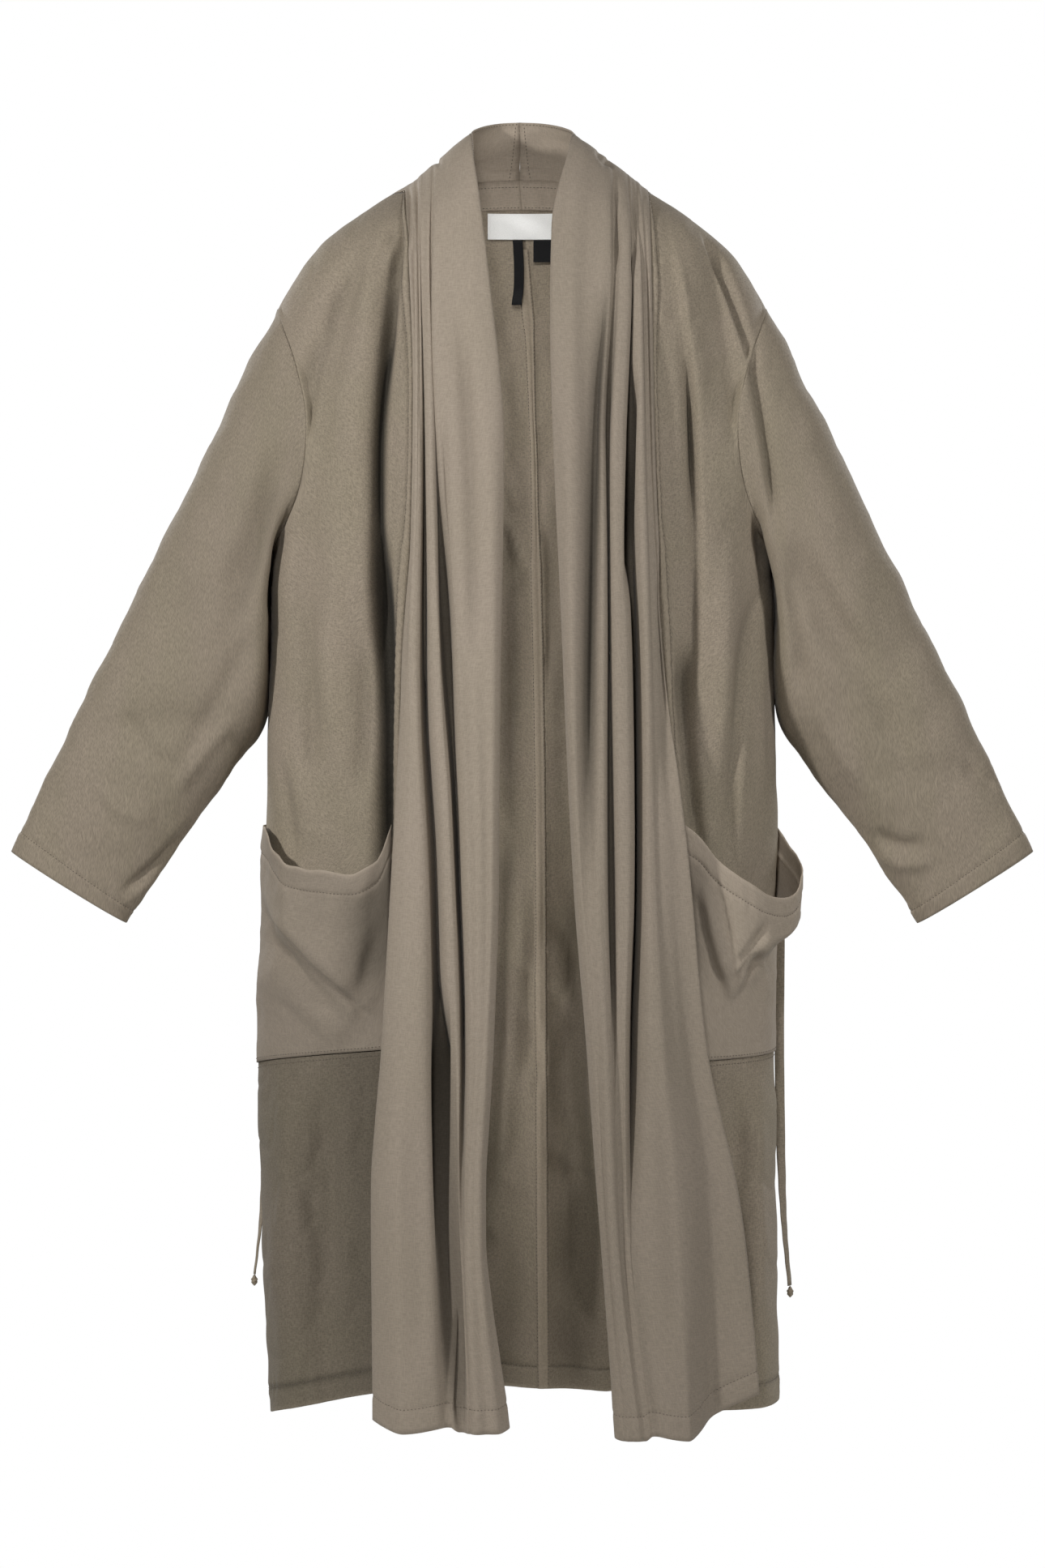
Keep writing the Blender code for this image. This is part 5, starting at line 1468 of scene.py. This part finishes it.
FACING_LAP, FACING_UNEVEN = 0.0030, 0.0002
FACING_ROWS, FACING_COLUMNS = 10, 60


def make_neck_facing(side):
    """The band inside the back neck: the back's points moved in, with stitches at its foot and its top."""
    across = np.linspace(0, FACING_END, FACING_COLUMNS)[None, :]
    level = np.linspace(0, -FACING_HEIGHT, FACING_ROWS)[:, None]
    band = back_points(side, across, level)
    band[0, :, 2] += FACING_LAP
    inwards = -grid_normals(band, BODY_MIDDLE)
    uneven = FACING_UNEVEN * waves(run_length(band, 1)[..., None], 0.02, NECK_SEED + (side == "right"))
    band = moved(band, inwards, CLOTH + 2 * LAP_GAP + uneven)
    sewn_sheet("neck_band_" + side, "neck_facing_" + side, band, BEHIND_NECK, drape_cloth, ["back_" + side],
               thickness=NECK_SHELL, wear=0.4 * groove(level + FACING_HEIGHT, HEM_EDGE), tone=NECK_TONE)
    for row in (FACING_ROWS - 2, 1):
        sew(side, band, inwards, row)


LABEL_LIFT, LEAST_FLAT = 0.0025, 0.0101


def make_labels():
    """Bare woven labels on the inside of the back; the long one curls away at its end."""
    down = np.linspace(0, 1, LABEL_ROWS)[:, None]
    aside = np.linspace(-1, 1, LABEL_COLUMNS)[None, :]
    for name, (middle, width, top, bottom) in LABELS.items():
        x = middle + np.linspace(-width / 2, width / 2, LABEL_COLUMNS)[None, :]
        z = np.linspace(top, bottom, LABEL_ROWS)[:, None]
        x, z = np.broadcast_arrays(x, z)
        curve = body_point(1, BACK, turn_at(1, x, z), z)
        grid = np.stack([x, curve[..., 1] - CLOTH - LABEL_GAP - LABEL_LIFT, z], axis=-1)
        cloth = (black_tape, "black_label")
        if name == "label_care":
            grid[..., 1] -= 0.0030 * ease(0.72, 1.0, down) * (1 + 0.3 * aside)
            grid[..., 0] += 0.0012 * np.sin(np.pi * down) - 0.0010 * ease(0.7, 1, down)
        elif name == "label_size":
            grid[..., 1] -= 0.0008 * ease(0.3, 1.0, down)
        else:
            grid[..., 1] -= 0.0005 * np.sin(np.pi * down) * (1 + 0.4 * np.sin(5 * aside))
            cloth = (white_tape, "white_label")
        piece = cloth_piece("bare_" + name, name, grid, BEHIND_NECK, cloth, thickness=LABEL_SHELL)


TIE_ROWS, TIE_COLUMNS = 90, 9
TIE_CUP, TIE_UNEVEN = 0.0005, 0.0002


def make_tie(side):
    """A flat tie that hangs beside the side seam and twists edge-on, and its knot with wound ridges."""
    sign = SIGN[side]
    levels = TIES[side]["level"]
    z = np.linspace(levels[-1], levels[0], TIE_ROWS)
    depth = TIE_DEPTH[side]
    turn = np.arcsin((depth / read(BODY, "back", z)) ** (ROUNDNESS / 2))
    x = body_point(sign, BACK, turn, z)[:, 0] + sign * read(TIES[side], "out", z)
    twist = TIE_TWIST[side] * ease(TIE_TWIST_START, levels[0], z)
    across = np.stack([np.cos(twist), np.sin(twist), np.zeros_like(z)], axis=-1)
    face = np.stack([-np.sin(twist), np.cos(twist), np.zeros_like(z)], axis=-1)
    route = np.stack([x, np.full_like(z, depth), z], axis=-1)
    aside = np.linspace(-1, 1, TIE_COLUMNS)[None, :]
    cup = TIE_CUP * aside**2 + TIE_UNEVEN * waves(z[:, None, None], 0.03, TIE_SEED)
    grid = moved(moved(route[:, None], across[:, None], TIE_WIDTH / 2 * aside), face[:, None], cup)
    piece = cloth_piece("woven_tie_" + side, "tie_" + side, grid, BEHIND, main_cloth,
                        thickness=TIE_SHELL, offset=0, wear=0.4 * aside**8, tone=TIE_TONE)
    knot = make_knot(side, (x[-1], depth, z[-1] - KNOT_LENGTH / 2 - LAP_GAP))


KNOT_RINGS, KNOT_TURNS = 36, 40
KNOT_RIDGE = 0.13


def make_knot(side, centre):
    """A knot as a drop of rings, whose radius follows a half wave and carries three turns of wound ridges."""
    turn = np.linspace(0, 2 * np.pi, KNOT_TURNS, endpoint=False)[None, :]
    along = np.linspace(0, 1, KNOT_RINGS)[:, None]
    drop = np.sin(np.pi * np.clip(along, 0.015, 0.985)) ** 0.75 * (0.75 + 0.35 * along)
    ridges = 1 + KNOT_RIDGE * np.sin(2 * turn + along * 6 * np.pi) * np.sin(np.pi * along)
    radius = KNOT_RADIUS * drop * ridges
    grid = np.stack([
        centre[0] + radius * np.cos(turn),
        centre[1] + radius * np.sin(turn),
        centre[2] + KNOT_LENGTH * (0.5 - along) + 0 * turn,
    ], axis=-1)
    index = closed_ring(np.arange(radius.size).reshape(radius.shape))
    faces = cells(index).tolist() + [index[0, :-1].tolist(), index[-1, -2::-1].tolist()]
    uv = np.stack([turn * KNOT_RADIUS + 0 * along, along * KNOT_LENGTH + 0 * turn], axis=-1).reshape(-1, 2)
    mesh = new_mesh("wound_knot_" + side, grid, faces, uv[np.concatenate(faces)])
    return link_piece("wound_knot_" + side, mesh, *main_cloth, "tie_knot_" + side)


# The photograph's viewpoint: level, three metres in front
camera_data = bpy.data.cameras.new("photo_camera")
camera_data.lens = 79.73
camera_data.sensor_width = 36.0
camera = bpy.data.objects.new("photo_camera", camera_data)
camera.location = (0.00035, -3.0, -0.50925)
camera.rotation_euler = (np.pi / 2, 0, 0)
bpy.context.scene.collection.objects.link(camera)
bpy.context.scene.camera = camera

backs = {}
for jacket_side in SIGN:
    make_tie(jacket_side)
    make_fronts(jacket_side)
    backs[jacket_side] = make_back(jacket_side)
    make_sleeve(jacket_side)
    make_pocket(jacket_side)
    make_collar(jacket_side)
    make_neck_facing(jacket_side)
make_centre_band(backs["left"], backs["right"])
make_labels()
for jacket_side in SIGN:
    make_stitching(jacket_side)

# Floor, light and surroundings
FLOOR_LEVEL, FLOOR_RADIUS, FLOOR_CORNERS = -1.42, 0.95, 96


def make_floor():
    """A plain round pale floor, below what the camera frames."""
    turn = np.linspace(0, 2 * np.pi, FLOOR_CORNERS, endpoint=False)
    x, y = FLOOR_RADIUS * np.cos(turn), FLOOR_RADIUS * np.sin(turn)
    rim = np.stack([x, y, np.full_like(turn, FLOOR_LEVEL)], axis=-1)
    mesh = new_mesh("floor", rim, [list(range(FLOOR_CORNERS))])
    material, _, surface = new_material("Pale floor")
    surface["Base Color"].default_value = (0.86, 0.86, 0.85, 1)
    surface["Roughness"].default_value = 0.9
    mesh.materials.append(material)
    floor = bpy.data.objects.new("floor", mesh)
    bpy.context.scene.collection.objects.link(floor)


def add_light(name, place, target, size, power, height=None):
    """A round light, or with a height a rectangular one, turned from its place to its target."""
    data = bpy.data.lights.new(name, "AREA")
    data.shape = "RECTANGLE" if height else "DISK"
    data.size = size
    data.size_y = height or size
    data.energy = power
    light = bpy.data.objects.new(name, data)
    aim = np.asarray(target, float) - np.asarray(place, float)
    light.location = place
    light.rotation_euler = (np.arctan2(np.hypot(aim[0], aim[1]), -aim[2]), 0, np.arctan2(-aim[0], aim[1]))
    light.visible_camera = False
    bpy.context.scene.collection.objects.link(light)


make_floor()
add_light("front_key", (-0.25, -2.2, 0.75), (0, 0, -0.40), 0.30, 18.0)
add_light("key_left", (-1.55, -1.50, 0.10), (0, 0, -0.40), 0.20, 29.0)
add_light("key_right", (1.75, -1.40, 0.10), (0, 0, -0.45), 0.5, 20.0)
add_light("back_left", (-1.8, 2.2, 0.8), (0, 0, -0.50), 1.2, 44.0)
add_light("back_right", (1.8, 2.2, 0.8), (0, 0, -0.50), 1.2, 44.0)
add_light("inner_glow", (-0.105, -0.015, -0.47), (0.045, 0.115, -0.47), 0.05, 0.55, height=0.80)
add_light("neck_glow", (-0.020, -0.030, -0.005), (0.0, 0.05, -0.090), 0.05, 0.045, height=0.05)

# A white surround to the camera, and a faint one to the cloth
WHITE, SEEN_STRENGTH, LIT_STRENGTH = (1, 1, 1, 1), 1.0, 0.05
world = bpy.data.worlds.new("Studio")
world.use_nodes = True
sky = world.node_tree
sky.nodes.clear()
lit, seen = (node(sky, "ShaderNodeBackground", {"Color": WHITE, "Strength": strength}).outputs[0]
             for strength in (LIT_STRENGTH, SEEN_STRENGTH))
path = node(sky, "ShaderNodeLightPath").outputs["Is Camera Ray"]
either = node(sky, "ShaderNodeMixShader", {0: path, 1: lit, 2: seen}).outputs[0]
node(sky, "ShaderNodeOutputWorld", {"Surface": either})
bpy.context.scene.world = world
bpy.context.scene.view_settings.view_transform = "Standard"
bpy.context.scene.view_settings.look = "None"
